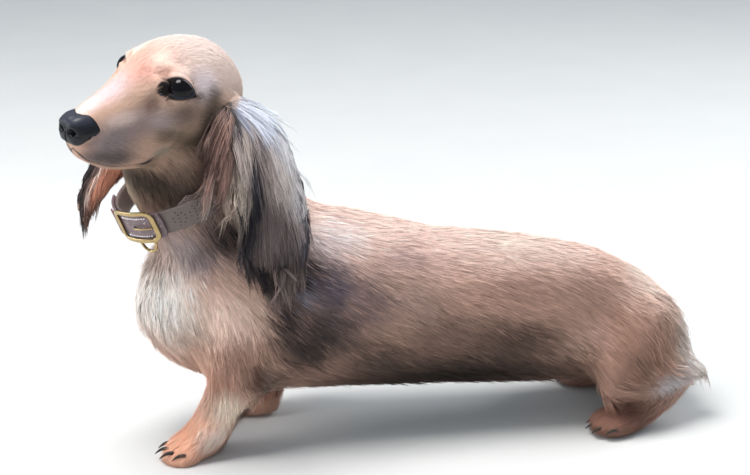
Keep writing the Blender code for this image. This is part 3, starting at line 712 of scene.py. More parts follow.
def build_skin():
    """The dog's one skin: the flesh solids and thin ears welded, relaxed, drawn in by the
    coat's depth, made finer on the face, and sculpted there."""
    points, faces = solid_arrays(FLESH + ("nose", "eye_left", "eye_right"))
    skin = largest_part(remeshed(new_piece("dog_skin", points, faces), FIRST_GRAIN))
    points, edges = points_of(skin), edges_of(skin)
    head = patch(to_head(points), np.array((0, 0, -20)), np.array((85, 55, 60)), 4)
    points = relaxed(points, edges, 14, 0.6 - 0.1 * head, swell=SWELL)
    points = relaxed(points, edges, 3, 0.5 * (1 - head))
    move_points(skin, points)
    points = points - normals_of(skin) * coat_depth(points)[:, None]
    points = relaxed(points, edges, 2, np.full(len(points), 0.3))
    shells = [(points, NO_QUADS, triangles_of(skin.data))]
    shells += [capped(grid) for grids in EAR_GRIDS.values() for grid in grids]
    bpy.data.objects.remove(skin)
    skin = largest_part(remeshed(new_piece("dog_skin", *joined(shells)), SKIN_GRAIN))
    skin.name = "dog_skin"
    everywhere = np.full(len(skin.data.vertices), 0.5)
    move_points(skin, relaxed(points_of(skin), edges_of(skin), 4, everywhere, swell=SWELL))
    # the face gets points every millimetre, and the eyes' surroundings every half
    f, l, u = to_head(points_of(skin)).T
    refined(skin, (f > -16) & (f < 72) & (np.abs(l) < 38) & (np.abs(u + 18) < 42))
    local = to_head(points_of(skin))
    gaps = [np.linalg.norm(local - eye_at(side), axis=1) for side in EYE_SIDES]
    refined(skin, np.minimum(*gaps) < EYE_REACH)
    face = patch(to_head(points_of(skin)), np.array((20, 0, -15)), np.array((50, 40, 40)), 4)
    move_points(skin, relaxed(points_of(skin), edges_of(skin), 6, 0.5 * face, swell=SWELL))
    points = sculpt_face(points_of(skin), normals_of(skin))
    points = wrap_lids(points)
    points = relaxed(points, edges_of(skin), 10, 0.5 * lid_surround(points))
    points = cinched(points)
    points[:, 2] = np.maximum(points[:, 2], 0.05)
    move_points(skin, points)
    return skin


def near_cloud(points, cloud, reach):
    """True for each point that lies within reach of any point of a cloud."""
    found = np.zeros(len(points), bool)
    low, high = cloud.min(axis=0) - reach, cloud.max(axis=0) + reach
    index = np.flatnonzero(((points > low) & (points < high)).all(axis=1))
    for part in np.array_split(index, max(1, len(index) // 2000)):
        d = ((points[part][:, None] - cloud[None]) ** 2).sum(axis=2).min(axis=1)
        found[part] = d < reach * reach
    return found


# ---------------------------------------------------------------- the lie of the coat
# where hair lies which way: kind of frame, place in mm, direction
COMB = (
    # the face, from the nose back
    ("head", (60, 0, -5), (-1, 0, 0.15)), ("head", (42, 0, -1), (-1, 0, 0.05)),
    ("head", (20, 0, 6), (-1, 0, 0.25)), ("head", (4, 0, 14), (-1, 0, 0.45)),
    ("head", (-14, 0, 23), (-1, 0, 0.2)), ("head", (-40, 0, 19), (-1, 0, -0.35)),
    ("head", (-60, 0, 0), (-0.7, 0, -1)),
    ("face", (45, 18, -22), (-1, 0.1, -0.12)), ("face", (50, 14, -38), (-1, 0.1, -0.35)),
    ("face", (25, 22, -18), (-1, 0.2, 0.05)), ("face", (25, 22, -38), (-1, 0.1, -0.3)),
    ("face", (12, 22, -4), (-1, 0.2, 0.35)), ("face", (8, 26, -18), (-1, 0.25, -0.15)),
    ("face", (-4, 31, -16), (-0.9, 0.2, -0.5)), ("face", (-2, 26, 10), (-0.9, 0.3, 0.35)),
    ("face", (-18, 30, 10), (-1, 0.2, -0.1)), ("face", (-20, 34, -8), (-0.9, 0.1, -0.45)),
    ("face", (-10, 32, -34), (-0.9, 0, -0.45)), ("face", (-34, 36, -10), (-0.6, 0, -0.9)),
    ("face", (-36, 34, -34), (-0.5, 0, -0.9)), ("face", (-45, 28, 8), (-0.7, 0.2, -0.7)),
    ("head", (40, 0, -52), (-1, 0, 0)), ("head", (10, 0, -54), (-1, 0, -0.1)),
    ("head", (-15, 0, -56), (-0.6, 0, -0.8)),
    # the neck and the back
    ("body", (-112, -10, 235), (0.55, 0, -0.8)), ("body", (-90, 0, 200), (0.7, 0, -0.7)),
    ("both", (-125, -45, 215), (0.25, -0.1, -0.95)), ("both", (-118, -40, 185), (0.45, -0.1, -0.9)),
    ("both", (-155, -30, 200), (0.2, 0, -0.95)), ("body", (-182, -10, 195), (0.15, 0, -1)),
    ("body", (-60, 0, 178), (0.95, 0, -0.25)), ("body", (0, 0, 158), (1, 0, -0.12)),
    ("body", (80, 0, 142), (1, 0, -0.1)), ("body", (150, 0, 122), (0.95, 0, -0.3)),
    ("body", (195, 0, 95), (0.75, 0, -0.65)), ("body", (220, 0, 60), (0.3, 0, -1)),
    # the flanks
    ("both", (-150, -32, 160), (0.6, 0, -0.75)), ("both", (-120, -48, 150), (0.65, -0.1, -0.72)),
    ("both", (-85, -54, 140), (0.75, -0.05, -0.62)), ("both", (-85, -56, 105), (0.7, 0, -0.7)),
    ("both", (-45, -54, 130), (0.84, 0, -0.5)), ("both", (-45, -54, 90), (0.8, 0, -0.58)),
    ("both", (-45, -46, 55), (0.85, 0.1, -0.5)), ("both", (10, -52, 110), (0.87, 0, -0.48)),
    ("both", (10, -50, 75), (0.86, 0, -0.5)), ("both", (10, -38, 42), (0.9, 0.15, -0.35)),
    ("both", (75, -50, 100), (0.88, 0, -0.46)), ("both", (75, -48, 65), (0.87, 0, -0.48)),
    ("both", (75, -34, 38), (0.92, 0.15, -0.3)), ("both", (125, -48, 95), (0.85, 0, -0.52)),
    ("both", (130, -46, 60), (0.8, 0, -0.58)), ("body", (20, 0, 27), (1, 0, 0)),
    ("body", (-80, 0, 32), (1, 0, 0)), ("body", (110, 0, 28), (1, 0, 0)),
    ("both", (0, -30, 148), (0.95, -0.15, -0.28)), ("both", (100, -28, 132), (0.95, -0.15, -0.28)),
    # the chest
    ("body", (-182, 0, 110), (0.1, 0, -1)), ("both", (-170, -25, 120), (0.35, -0.1, -0.9)),
    ("body", (-172, 0, 75), (0.5, 0, -0.85)), ("body", (-140, 0, 48), (0.9, 0, -0.4)),
    ("both", (-150, -40, 90), (0.35, -0.05, -0.93)),
    # the forelegs
    ("both", (-110, -58, 95), (0.2, -0.05, -1)), ("both", (-122, -58, 70), (0.05, 0, -1)),
    ("both", (-130, -50, 45), (-0.1, 0, -1)), ("both", (-110, -42, 45), (0.35, 0, -0.95)),
    ("both", (-90, -52, 70), (0.7, 0, -0.7)), ("both", (-92, -46, 52), (0.75, 0, -0.65)),
    ("both", (-135, -38, 28), (-0.6, -0.1, -0.8)), ("both", (-150, -38, 22), (-0.93, -0.3, -0.25)),
    ("both", (-162, -42, 12), (-0.8, -0.3, -0.5)), ("both", (-125, -45, 12), (-0.5, -0.4, -0.6)),
    # the hind legs
    ("both", (175, -50, 90), (0.75, -0.05, -0.68)), ("both", (165, -55, 65), (0.6, -0.05, -0.8)),
    ("both", (148, -52, 48), (0.8, 0, -0.6)), ("both", (160, -56, 36), (0.95, 0, -0.3)),
    ("both", (140, -48, 32), (0.8, 0, -0.5)), ("both", (195, -45, 68), (0.5, 0, -0.88)),
    ("both", (180, -50, 44), (0.7, 0, -0.6)), ("both", (210, -38, 42), (0.95, 0, -0.2)),
    ("both", (226, -30, 36), (0.95, 0, -0.25)), ("both", (205, -34, 22), (-0.9, 0, -0.3)),
    ("both", (180, -42, 20), (-0.95, -0.25, -0.15)), ("both", (155, -48, 18), (-0.93, -0.3, -0.25)),
    ("both", (140, -52, 10), (-0.8, -0.3, -0.5)), ("both", (215, -20, 58), (0.35, 0, -0.95)),
)
TAIL = ((184, 0, 64), (200, 3, 54), (211, 10, 41), (216, 24, 26), (214, 44, 15), (203, 64, 12),
        (181, 79, 12), (154, 87, 11), (127, 89, 9), (106, 88, 7), (96, 87, 6))


def comb_guides():
    """Places and directions of every guide in the row frame, both sides of the dog."""
    places, ways = [], []
    for kind, at, way in COMB:
        at, way = np.array(at, float), np.array(way, float)
        if kind in ("head", "face"):
            for sign in ((1, -1) if kind == "face" else (1,)):
                flip = np.array((1, sign, 1))
                places.append(from_head(at * flip))
                ways.append(HEAD_TURN @ (way * flip))
        else:
            places.append(row(at))
            ways.append(way)
            if kind == "both":
                step = RIGHT_FORE_STEP * float(ease((95 - at[2]) / 30)) * (at[0] < 40)
                places.append(row(at * (1, -1, 1) + (step, 0, 0)))
                ways.append(way * (1, -1, 1))
    line = smooth_rows([(*p, 0) for p in TAIL], 24)[:, :3]
    places += list(row(line[3:]))
    ways += list(unit(np.gradient(line, axis=0))[3:])
    return np.array(places), unit(np.array(ways))


GUIDE_PLACES, GUIDE_WAYS = comb_guides()


def combed(points, normals):
    """The hair's direction: the guides' mean, weighed by one over distance to the fourth,
    laid in the skin's own plane."""
    way = np.empty_like(points)
    for part in np.array_split(np.arange(len(points)), max(1, len(points) // 8000)):
        gap = ((points[part][:, None] - GUIDE_PLACES[None]) ** 2).sum(axis=2)
        weight = 1 / (gap + 36) ** 2
        way[part] = unit(weight @ GUIDE_WAYS)
    flat = way - normals * np.einsum("ij,ij->i", way, normals)[:, None]
    return unit(flat)


def ear_place(points, name):
    """For each point near an ear: which flap it is on, how far down it (0 to 1), how far
    across (-1 towards the face to 1 behind), the centre line's way there, and the step
    off the line."""
    best = np.full(len(points), np.inf)
    flap = np.zeros(len(points), int)
    down, across = np.zeros(len(points)), np.zeros(len(points))
    way, off = np.zeros_like(points), np.zeros_like(points)
    for number, rows in enumerate(EAR_LINES[name]):
        table = smooth_rows(rows, 60)
        line = row(table[:, :3])
        ways = unit(np.gradient(line, axis=0))
        gap = ((points[:, None] - line[None]) ** 2).sum(axis=2)
        k = gap.argmin(axis=1)
        step = points - line[k]
        score = gap.min(axis=1) / table[k, 3] ** 2 + 0.3 * number
        nearer = score < best
        best[nearer], flap[nearer] = score[nearer], number
        down[nearer] = (k / 59)[nearer]
        across[nearer] = (step[:, 0] / table[k, 3])[nearer]
        way[nearer], off[nearer] = ways[k][nearer], step[nearer]
    return flap, down, across, way, off


# the left ear's hair: x and z of a place, and its direction there
EAR_COMB = (
    (-102, 256, 0.4, -0.85), (-101, 250, 0.5, -0.8), (-91, 248, 0.75, -0.6),
    (-84, 248, 0.6, -0.8), (-76, 240, 0.25, -0.95), (-91, 239, 0.6, -0.75),
    (-83, 229, 0.45, -0.9), (-73, 225, 0.25, -0.95), (-87, 215, 0.35, -0.93),
    (-71, 211, 0.3, -0.95), (-94, 221, 0.35, -0.93), (-82, 202, 0.33, -0.93),
    (-69, 197, 0.33, -0.93), (-63, 184, 0.25, -0.95), (-93, 202, 0.1, -1),
    (-87, 174, 0.12, -1), (-73, 174, 0.2, -0.98), (-65, 155, 0.0, -1), (-60, 146, -0.2, -1),
    (-82, 146, 0.05, -1), (-100, 174, -0.1, -1), (-107, 155, 0.05, -1), (-104, 137, 0.5, -0.85),
    (-91, 132, 0.2, -1), (-106, 234, 0.25, -1), (-104, 218, 0.05, -1), (-106, 200, -0.2, -1),
    (-110, 183, -0.3, -0.95), (-115, 168, -0.3, -0.95), (-119, 245, -0.45, -0.9),
    (-123, 226, -0.4, -0.93), (-121, 214, -0.4, -0.93), (-126, 203, -0.45, -0.9),
    (-131, 188, -0.65, -0.75), (-134, 181, -0.8, -0.4),
)


def combed_ear(points, normals, name):
    """On the left ear the hair fans out from its root by its own guides; on the right one
    it runs down the centre line and spreads a little to its edges."""
    if name == "ear_left":
        guides = np.array(EAR_COMB)
        place = (points + MIDDLE)[:, [0, 2]]
        gap = ((place[:, None] - guides[None, :, :2]) ** 2).sum(axis=2)
        flat = (1 / (gap + 12) ** 2) @ guides[:, 2:]
        way = unit(np.column_stack([flat[:, 0], 0 * flat[:, 0], flat[:, 1]]))
    else:
        _, _, _, way, off = ear_place(points, name)
        way = unit(way + 0.012 * off)
    flat = way - normals * np.einsum("ij,ij->i", way, normals)[:, None]
    return unit(flat)


# ---------------------------------------------------------------- coat colours, painted shade and painted light
def linear(red, green, blue):
    """A colour given on the usual 0 to 255 scale, as linear light."""
    c = np.array((red, green, blue)) / 255
    return np.where(c < 0.04045, c / 12.92, ((c + 0.055) / 1.055) ** 2.4)


# frame, centre, half sizes, colour from 0 to 255, strength; later rows lie over earlier ones
TAN = linear(196, 158, 140)
# most rows are the coat's own colours; the rows marked below paint shade or light into it
MARKINGS_AND_PAINTED_LIGHTING = (
    # the body
    ("body", (40, 0, 158), (210, 70, 32), (252, 216, 204), 0.95),
    ("body", (120, 0, 140), (60, 60, 22), (255, 228, 216), 0.6),
    # painted shade: this row and the next two darken the lower flank and the belly towards the
    # floor
    ("body", (40, 0, 52), (98, 80, 32), (56, 46, 40), 0.92),
    ("body", (64, 0, 80), (58, 80, 12), (118, 92, 82), 0.6),
    ("body", (30, 0, 20), (150, 34, 18), (66, 56, 52), 0.8),
    ("both", (172, -45, 66), (36, 24, 32), (166, 128, 110), 0.8),
    ("body", (192, 0, 100), (28, 40, 22), (254, 226, 212), 0.85),
    ("both", (216, -12, 52), (14, 30, 24), (252, 238, 228), 0.88),
    ("both", (222, -34, 40), (9, 12, 14), (255, 242, 236), 0.88),
    # partly painted light: shoulder and chest are pale cream of their own, painted paler still
    # where light falls on their front (this row and the next two)
    ("both", (-118, -52, 104), (24, 20, 20), (242, 210, 194), 0.85),
    ("both", (-158, -32, 112), (22, 22, 26), (255, 246, 238), 0.95),
    ("body", (-178, 0, 112), (16, 30, 34), (252, 244, 238), 0.85),
    ("both", (-142, -43, 92), (12, 12, 10), (160, 142, 130), 0.75),
    ("body", (-140, 0, 54), (30, 26, 14), (206, 172, 152), 0.7),
    # the flank, this row and the next four: partly its own tan, partly painted shade that deepens
    # down the flank towards the belly
    ("both", (138, -38, 106), (24, 14, 16), (156, 126, 114), 0.78),
    ("both", (86, -42, 110), (28, 14, 14), (166, 132, 118), 0.72),
    ("both", (14, -46, 108), (22, 14, 14), (160, 136, 128), 0.72),
    ("both", (36, -48, 86), (26, 14, 12), (120, 98, 88), 0.65),
    ("both", (86, -48, 74), (26, 14, 11), (66, 54, 46), 0.82),
    ("both", (137, -46, 72), (15, 14, 11), (204, 168, 154), 0.7),
    ("both", (8, -34, 134), (20, 12, 9), (172, 146, 144), 0.7),
    ("both", (210, -38, 64), (9, 12, 12), (168, 150, 138), 0.7),
    # painted shadow along the underside of the belly
    ("body", (52, 0, 46), (98, 80, 15), (26, 23, 21), 0.9),
    ("both", (172, -56, 50), (20, 16, 13), (136, 104, 90), 0.85),
    # the charcoal patch behind the ear
    ("both", (-66, -46, 132), (20, 18, 26), (8, 9, 18), 0.98),
    ("both", (-77, -52, 98), (13, 14, 20), (15, 17, 27), 0.97),
    ("both", (-54, -50, 92), (14, 14, 16), (28, 30, 36), 0.93),
    ("both", (-62, -50, 76), (16, 16, 13), (34, 32, 33), 0.92),
    ("both", (-42, -46, 120), (12, 14, 22), (62, 68, 88), 0.88),
    ("both", (-38, -50, 88), (14, 14, 15), (52, 48, 48), 0.85),
    ("both", (-18, -47, 110), (13, 12, 18), (78, 74, 84), 0.75),
    ("both", (-14, -45, 68), (20, 14, 12), (54, 46, 42), 0.8),
    ("both", (-64, -49, 116), (6, 8, 8), (150, 150, 166), 0.7),
    ("both", (-40, -30, 152), (22, 16, 12), (250, 232, 230), 0.85),
    # the neck, its side and below the collar
    # painted shade round the neck at the collar, under the head
    ("body", (-150, -20, 196), (34, 34, 26), (74, 64, 54), 0.9),
    # painted shadow under the ear's front lobe, on the side of the neck
    ("both", (-138, -44, 194), (16, 14, 22), (44, 42, 44), 0.9),
    ("body", (-176, -14, 196), (7, 12, 22), (236, 216, 188), 0.9),
    ("body", (-180, -30, 178), (8, 16, 10), (150, 124, 100), 0.6),
    ("both", (-144, -30, 152), (16, 16, 12), (196, 180, 178), 0.85),
    # painted shadow under the ear's lower edge, on the near side only
    ("body", (-116, -42, 160), (19, 18, 17), (9, 11, 22), 0.98),
    ("both", (-134, -38, 142), (13, 12, 9), (112, 106, 114), 0.8),
    ("body", (-166, -9, 134), (12, 24, 11), (140, 122, 112), 0.85),
    # the forelegs
    ("both", (-127, -50, 56), (15, 20, 16), (184, 138, 120), 0.9),
    ("both", (-111, -58, 80), (14, 14, 12), (144, 110, 96), 0.8),
    # painted shade in the hollow behind the elbow
    ("both", (-98, -52, 62), (9, 10, 12), (74, 46, 38), 0.9),
    ("both", (-86, -46, 52), (9, 12, 14), (112, 100, 92), 0.75),
    ("both", (-119, -50, 37), (12, 14, 12), (255, 232, 210), 0.92),
    ("both", (-148, -42, 17), (26, 24, 15), (252, 182, 152), 0.95),
    ("both", (-127, -52, 16), (12, 8, 10), (248, 228, 216), 0.85),
    # the hind feet and the feather above them
    ("both", (158, -52, 12), (34, 24, 16), (116, 78, 66), 0.9),
    ("both", (196, -46, 34), (18, 12, 7), (200, 197, 200), 0.9),
    ("both", (226, -32, 38), (8, 12, 10), (246, 226, 214), 0.7),
    ("body", (170, 75, 12), (70, 30, 18), (224, 186, 162), 0.7),
    ("body", (100, 87, 7), (24, 14, 12), (244, 226, 208), 0.8),
    # the head from the crown to the nose
    ("head", (-10, 0, -20), (60, 50, 44), (198, 164, 142), 1.0),
    ("head", (-34, 0, 12), (38, 34, 24), (232, 212, 204), 0.95),
    ("face", (-48, 26, -4), (14, 12, 18), (206, 188, 178), 0.7),
    ("head", (6, 0, 12), (20, 17, 10), (228, 166, 152), 0.9),
    ("head", (34, 0, 0), (24, 9, 8), (224, 198, 202), 0.9),
    ("head", (52, 0, -6), (10, 6, 5), (240, 224, 222), 0.8),
    ("face", (0, 13, 17), (7, 6, 5), (254, 230, 214), 0.6),
    ("face", (3, 25, 14), (5, 6, 4), (226, 196, 180), 0.6),
    ("face", (-9, 27, 10), (9, 6, 5), (222, 198, 188), 0.7),
    ("face", (1, 19, 11), (5, 3.2, 2.4), (176, 132, 116), 0.7),
    ("face", (-22, 30, -1), (9, 8, 11), (236, 220, 224), 0.9),
    # the sides of the face
    # partly painted shade: the muzzle's side is grey-beige of its own, painted darker than its lit
    # top (this row and the next)
    ("face", (24, 20, -18), (17, 9, 9), (154, 134, 132), 0.85),
    ("face", (44, 17, -28), (16, 9, 12), (132, 122, 126), 0.85),
    ("face", (54, 12, -36), (9, 8, 5), (66, 64, 68), 0.8),
    ("face", (40, 16, -40), (12, 8, 6), (70, 66, 68), 0.8),
    # painted shade in the dip below the eye's inner corner
    ("face", (14, 21, -8), (5, 5, 6), (120, 92, 84), 0.7),
    ("face", (36, 18, -14), (12, 5, 4), (232, 206, 196), 0.7),
    ("face", (9, 26, -19), (9, 8, 7), (178, 162, 160), 0.8),
    # painted shade: this row and the next five darken the cheek under and behind the eye, towards
    # the ear and the jaw
    ("face", (-4, 31, -17), (10, 8, 8), (94, 82, 76), 0.78),
    ("face", (4, 27, -30), (10, 9, 6), (80, 73, 63), 0.8),
    ("face", (-12, 30, -38), (13, 14, 11), (84, 72, 58), 0.9),
    ("face", (-22, 33, -22), (9, 12, 14), (78, 66, 54), 0.9),
    ("face", (-27, 34, -40), (9, 14, 22), (50, 42, 40), 0.9),
    ("face", (-27, 34, -10), (5, 8, 8), (96, 80, 70), 0.8),
    ("face", (-15, 31.5, -7), (3.5, 4, 2.2), (62, 52, 48), 0.75),
    ("face", (7, 19, -43), (8, 8, 4), (166, 158, 142), 0.8),
    # painted shade under the jaw
    ("head", (4, 0, -70), (18, 32, 13), (24, 21, 15), 0.95),
    ("head", (34, 0, -55), (28, 16, 6), (176, 150, 124), 0.85),
    ("face", (17, 19.5, -48.5), (6, 6, 3.2), (24, 22, 26), 0.95),
)
MARKINGS_AND_PAINTED_LIGHTING = [(*spot, linear(*colour), strength) for *spot, colour, strength in MARKINGS_AND_PAINTED_LIGHTING]
LIP_DARK = linear(30, 27, 28)
RIM_DARK = linear(9, 9, 14)


def markings_and_painted_lighting(points):
    """The colour of skin and hair at each point: soft patches laid over plain tan, some of them
    painted shade or painted light, then the dark edges of the lips and lids."""
    tone = layered(TAN, MARKINGS_AND_PAINTED_LIGHTING, points)
    face = placed("face", points)
    near = (face[:, 0] > 8) & (face[:, 2] < -25) & (face[:, 1] < 32)
    gap = gap_to(face[near], smooth_rows(LIP, 60))
    tone[near] += (0.95 * np.exp(-(gap / 1.2) ** 4))[:, None] * (LIP_DARK - tone[near])
    return tone + (0.98 * eye_shade(points))[:, None] * (RIM_DARK - tone)


# on the left ear, x and z of a patch's middle, its half sizes, colour and strength
EAR_LEFT_MARKINGS_AND_PAINTED_LIGHTING = (
    # painted highlight: bluish-white sheen of the light on the ear's top and back edge (this row
    # and the next)
    ((-84, 248), (18, 13), (232, 238, 252), 0.95),
    ((-73, 216), (11, 27), (248, 250, 255), 0.96),
    ((-91, 229), (7, 10), (132, 132, 142), 0.7),
    # painted highlight: more of that sheen near the top
    ((-86, 239), (9, 9), (226, 234, 250), 0.92),
    ((-82, 202), (10, 14), (176, 162, 156), 0.85),
    ((-85, 168), (12, 22), (96, 86, 86), 0.9),
    ((-78, 152), (10, 14), (88, 79, 80), 0.88),
    ((-122, 213), (12, 26), (176, 138, 126), 0.95),
    ((-133, 182), (11, 9), (226, 212, 202), 0.85),
    # painted shadow in the crease where the front lobe folds from the ear
    ((-111, 216), (4.4, 22), (30, 23, 26), 0.95),
    ((-104, 218), (5.5, 20), (202, 186, 178), 0.95),
    # painted highlight: grey-blue sheen on the top near the root
    ((-104, 242), (6, 9), (150, 160, 182), 0.85),
    ((-125, 219), (4.4, 11), (48, 35, 36), 0.85),
    ((-118, 193), (6, 8), (88, 68, 66), 0.75),
    ((-109, 190), (5, 14), (206, 190, 176), 0.95),
    ((-115, 171), (3.5, 12), (212, 200, 180), 0.95),
    ((-99, 207), (6, 15), (40, 42, 54), 0.92),
    ((-98, 192), (5.5, 13), (22, 25, 36), 0.96),
    ((-102, 174), (8, 16), (9, 12, 24), 0.98),
    ((-91, 157), (6, 10), (118, 106, 104), 0.75),
    ((-106, 152), (8, 13), (26, 29, 42), 0.95),
    ((-95, 135), (15, 8), (18, 20, 32), 0.97),
    ((-63, 148), (7, 13), (24, 26, 40), 0.95),
    ((-66, 160), (6, 8), (86, 86, 100), 0.7),
    ((-64, 178), (6, 11), (120, 120, 132), 0.85),
    # painted shadow: the crease's dark line continued up to the root (this row and the next)
    ((-114, 250), (4, 9), (34, 30, 34), 0.92),
    ((-111, 234), (3.5, 9), (40, 34, 36), 0.85),
)
# on the right ear: how far down (0 to 1) and across (-1 to 1), half sizes
EAR_RIGHT_MARKINGS = (
    ((0.6, 0.35), (0.7, 0.6), (186, 126, 102), 0.95),
    ((0.65, -0.75), (0.6, 0.55), (22, 20, 24), 0.97),
    ((0.6, -0.14), (0.5, 0.09), (226, 206, 196), 0.8),
    ((0.98, 0.0), (0.06, 1.2), (34, 30, 32), 0.8),
)
EAR_TONE = linear(150, 132, 126)
EAR_MARKINGS_AND_PAINTED_LIGHTING = {
    name: [(name, *spot, linear(*colour), strength) for *spot, colour, strength in table]
    for name, table in (("ear_left", EAR_LEFT_MARKINGS_AND_PAINTED_LIGHTING), ("ear_right", EAR_RIGHT_MARKINGS))}


def ear_markings_and_painted_lighting(points, name):
    """The ear's colours: soft patches over taupe, some of them painted highlights and painted
    shadow.
    """
    return layered(EAR_TONE, EAR_MARKINGS_AND_PAINTED_LIGHTING[name], points)


# ---------------------------------------------------------------- nearest place on the skin
def node(tree, kind, inputs=(), **settings):
    """Adds a node, sets its properties, and sets or links its inputs by name or index."""
    made = tree.nodes.new(kind)
    for key, value in settings.items():
        setattr(made, key, value)
    for key, value in dict(inputs).items():
        if isinstance(value, bpy.types.NodeSocket):
            tree.links.new(value, made.inputs[key])
        else:
            made.inputs[key].default_value = value
    return made


def nearest_tool(skin):
    """A geometry group that carries each point to the skin and notes the normal there."""
    tree = bpy.data.node_groups.new("nearest_on_skin", "GeometryNodeTree")
    for way in ("INPUT", "OUTPUT"):
        tree.interface.new_socket("Geometry", in_out=way, socket_type="NodeSocketGeometry")
    source = node(tree, "NodeGroupInput")
    info = node(tree, "GeometryNodeObjectInfo", {"Object": skin}).outputs["Geometry"]
    normal = node(tree, "GeometryNodeInputNamedAttribute", {"Name": "outwards"},
                  data_type="FLOAT_VECTOR")
    near = node(tree, "GeometryNodeProximity", {0: info}, target_element="FACES")
    sample = node(tree, "GeometryNodeSampleNearestSurface",
                  {"Mesh": info, "Value": normal.outputs[0]}, data_type="FLOAT_VECTOR")
    keep = node(tree, "GeometryNodeStoreNamedAttribute",
                {"Geometry": source.outputs[0], "Name": "outwards",
                 "Value": sample.outputs["Value"]}, data_type="FLOAT_VECTOR")
    place = node(tree, "GeometryNodeSetPosition", {"Geometry": keep.outputs[0],
                                                   "Position": near.outputs["Position"]})
    node(tree, "NodeGroupOutput", {0: place.outputs[0]})
    return tree


def on_skin(points, tree):
    """The nearest place on the skin for each point, and the skin's normal there."""
    mesh = bpy.data.meshes.new("probe")
    mesh.vertices.add(len(points))
    mesh.vertices.foreach_set("co", (points * MM).astype(np.float32).ravel())
    probe = bpy.data.objects.new("probe", mesh)
    bpy.context.scene.collection.objects.link(probe)
    tool = probe.modifiers.new("Nearest", "NODES")
    tool.node_group = tree
    baked(probe)
    normals = read(probe.data.attributes["outwards"].data, "vector", 3).astype(float)
    found = points_of(probe)
    done = probe.data
    bpy.data.objects.remove(probe)
    bpy.data.meshes.remove(done)
    return found, unit(normals)


# ---------------------------------------------------------------- the coat
# hair length in mm, as the depths above
LENGTH_BASE = 24.0
LENGTHS = (
    ("head", (0, 0, -20), (78, 50, 56), 6.5),
    ("head", (45, 0, -22), (32, 30, 35), 4.0),
    ("head", (62, 0, -22), (12, 20, 20), 2.4),
    ("face", (-4, 25, 4), (13, 10, 13), 3.6),
    ("head", (-50, 0, 0), (24, 40, 40), 10.0),
    ("head", (-20, 0, 14), (24, 30, 16), 7.0),
    ("body", (-145, -8, 165), (40, 50, 35), 22.0),
    ("body", (-175, 0, 105), (28, 40, 45), 26.0),
    ("both", (-122, -46, 52), (20, 20, 30), 10.0),
    ("both", (-88, -48, 60), (13, 16, 26), 24.0),
    ("both", (-145, -38, 10), (36, 30, 20), 9.0),
    ("both", (-122, -54, 14), (12, 8, 10), 11.0),
    ("both", (160, -45, 12), (34, 28, 16), 9.0),
    ("both", (158, -52, 36), (26, 16, 12), 15.0),
    ("both", (190, -44, 36), (30, 20, 14), 13.0),
    ("both", (216, -22, 56), (18, 28, 26), 24.0),
    ("body", (170, 78, 12), (70, 26, 20), 28.0),
)


def coat_length(points):
    """The hair's length in mm."""
    return layered(LENGTH_BASE, LENGTHS, points)[:, 0]


def sampled(corners, count):
    """Places spread evenly over triangles."""
    area = np.linalg.norm(np.cross(corners[:, 1] - corners[:, 0],
                                   corners[:, 2] - corners[:, 0]), axis=1)
    total = np.cumsum(area)
    at = (np.arange(count) + RANDOM.random(count)) * total[-1] / count
    face = np.minimum(np.searchsorted(total, at), len(total) - 1)
    a, b = RANDOM.random((2, count))
    a, b = np.where(a + b > 1, 1 - a, a), np.where(a + b > 1, 1 - b, b)
    p = corners[face]
    return p[:, 0] + (p[:, 1] - p[:, 0]) * a[:, None] + (p[:, 2] - p[:, 0]) * b[:, None]


UV_PATCH = 0.003                        # side of a tuft's patch on the OFBake map
UV_LOW, UV_SPAN = 0.01, 0.97            # where the roots' places start, and their span


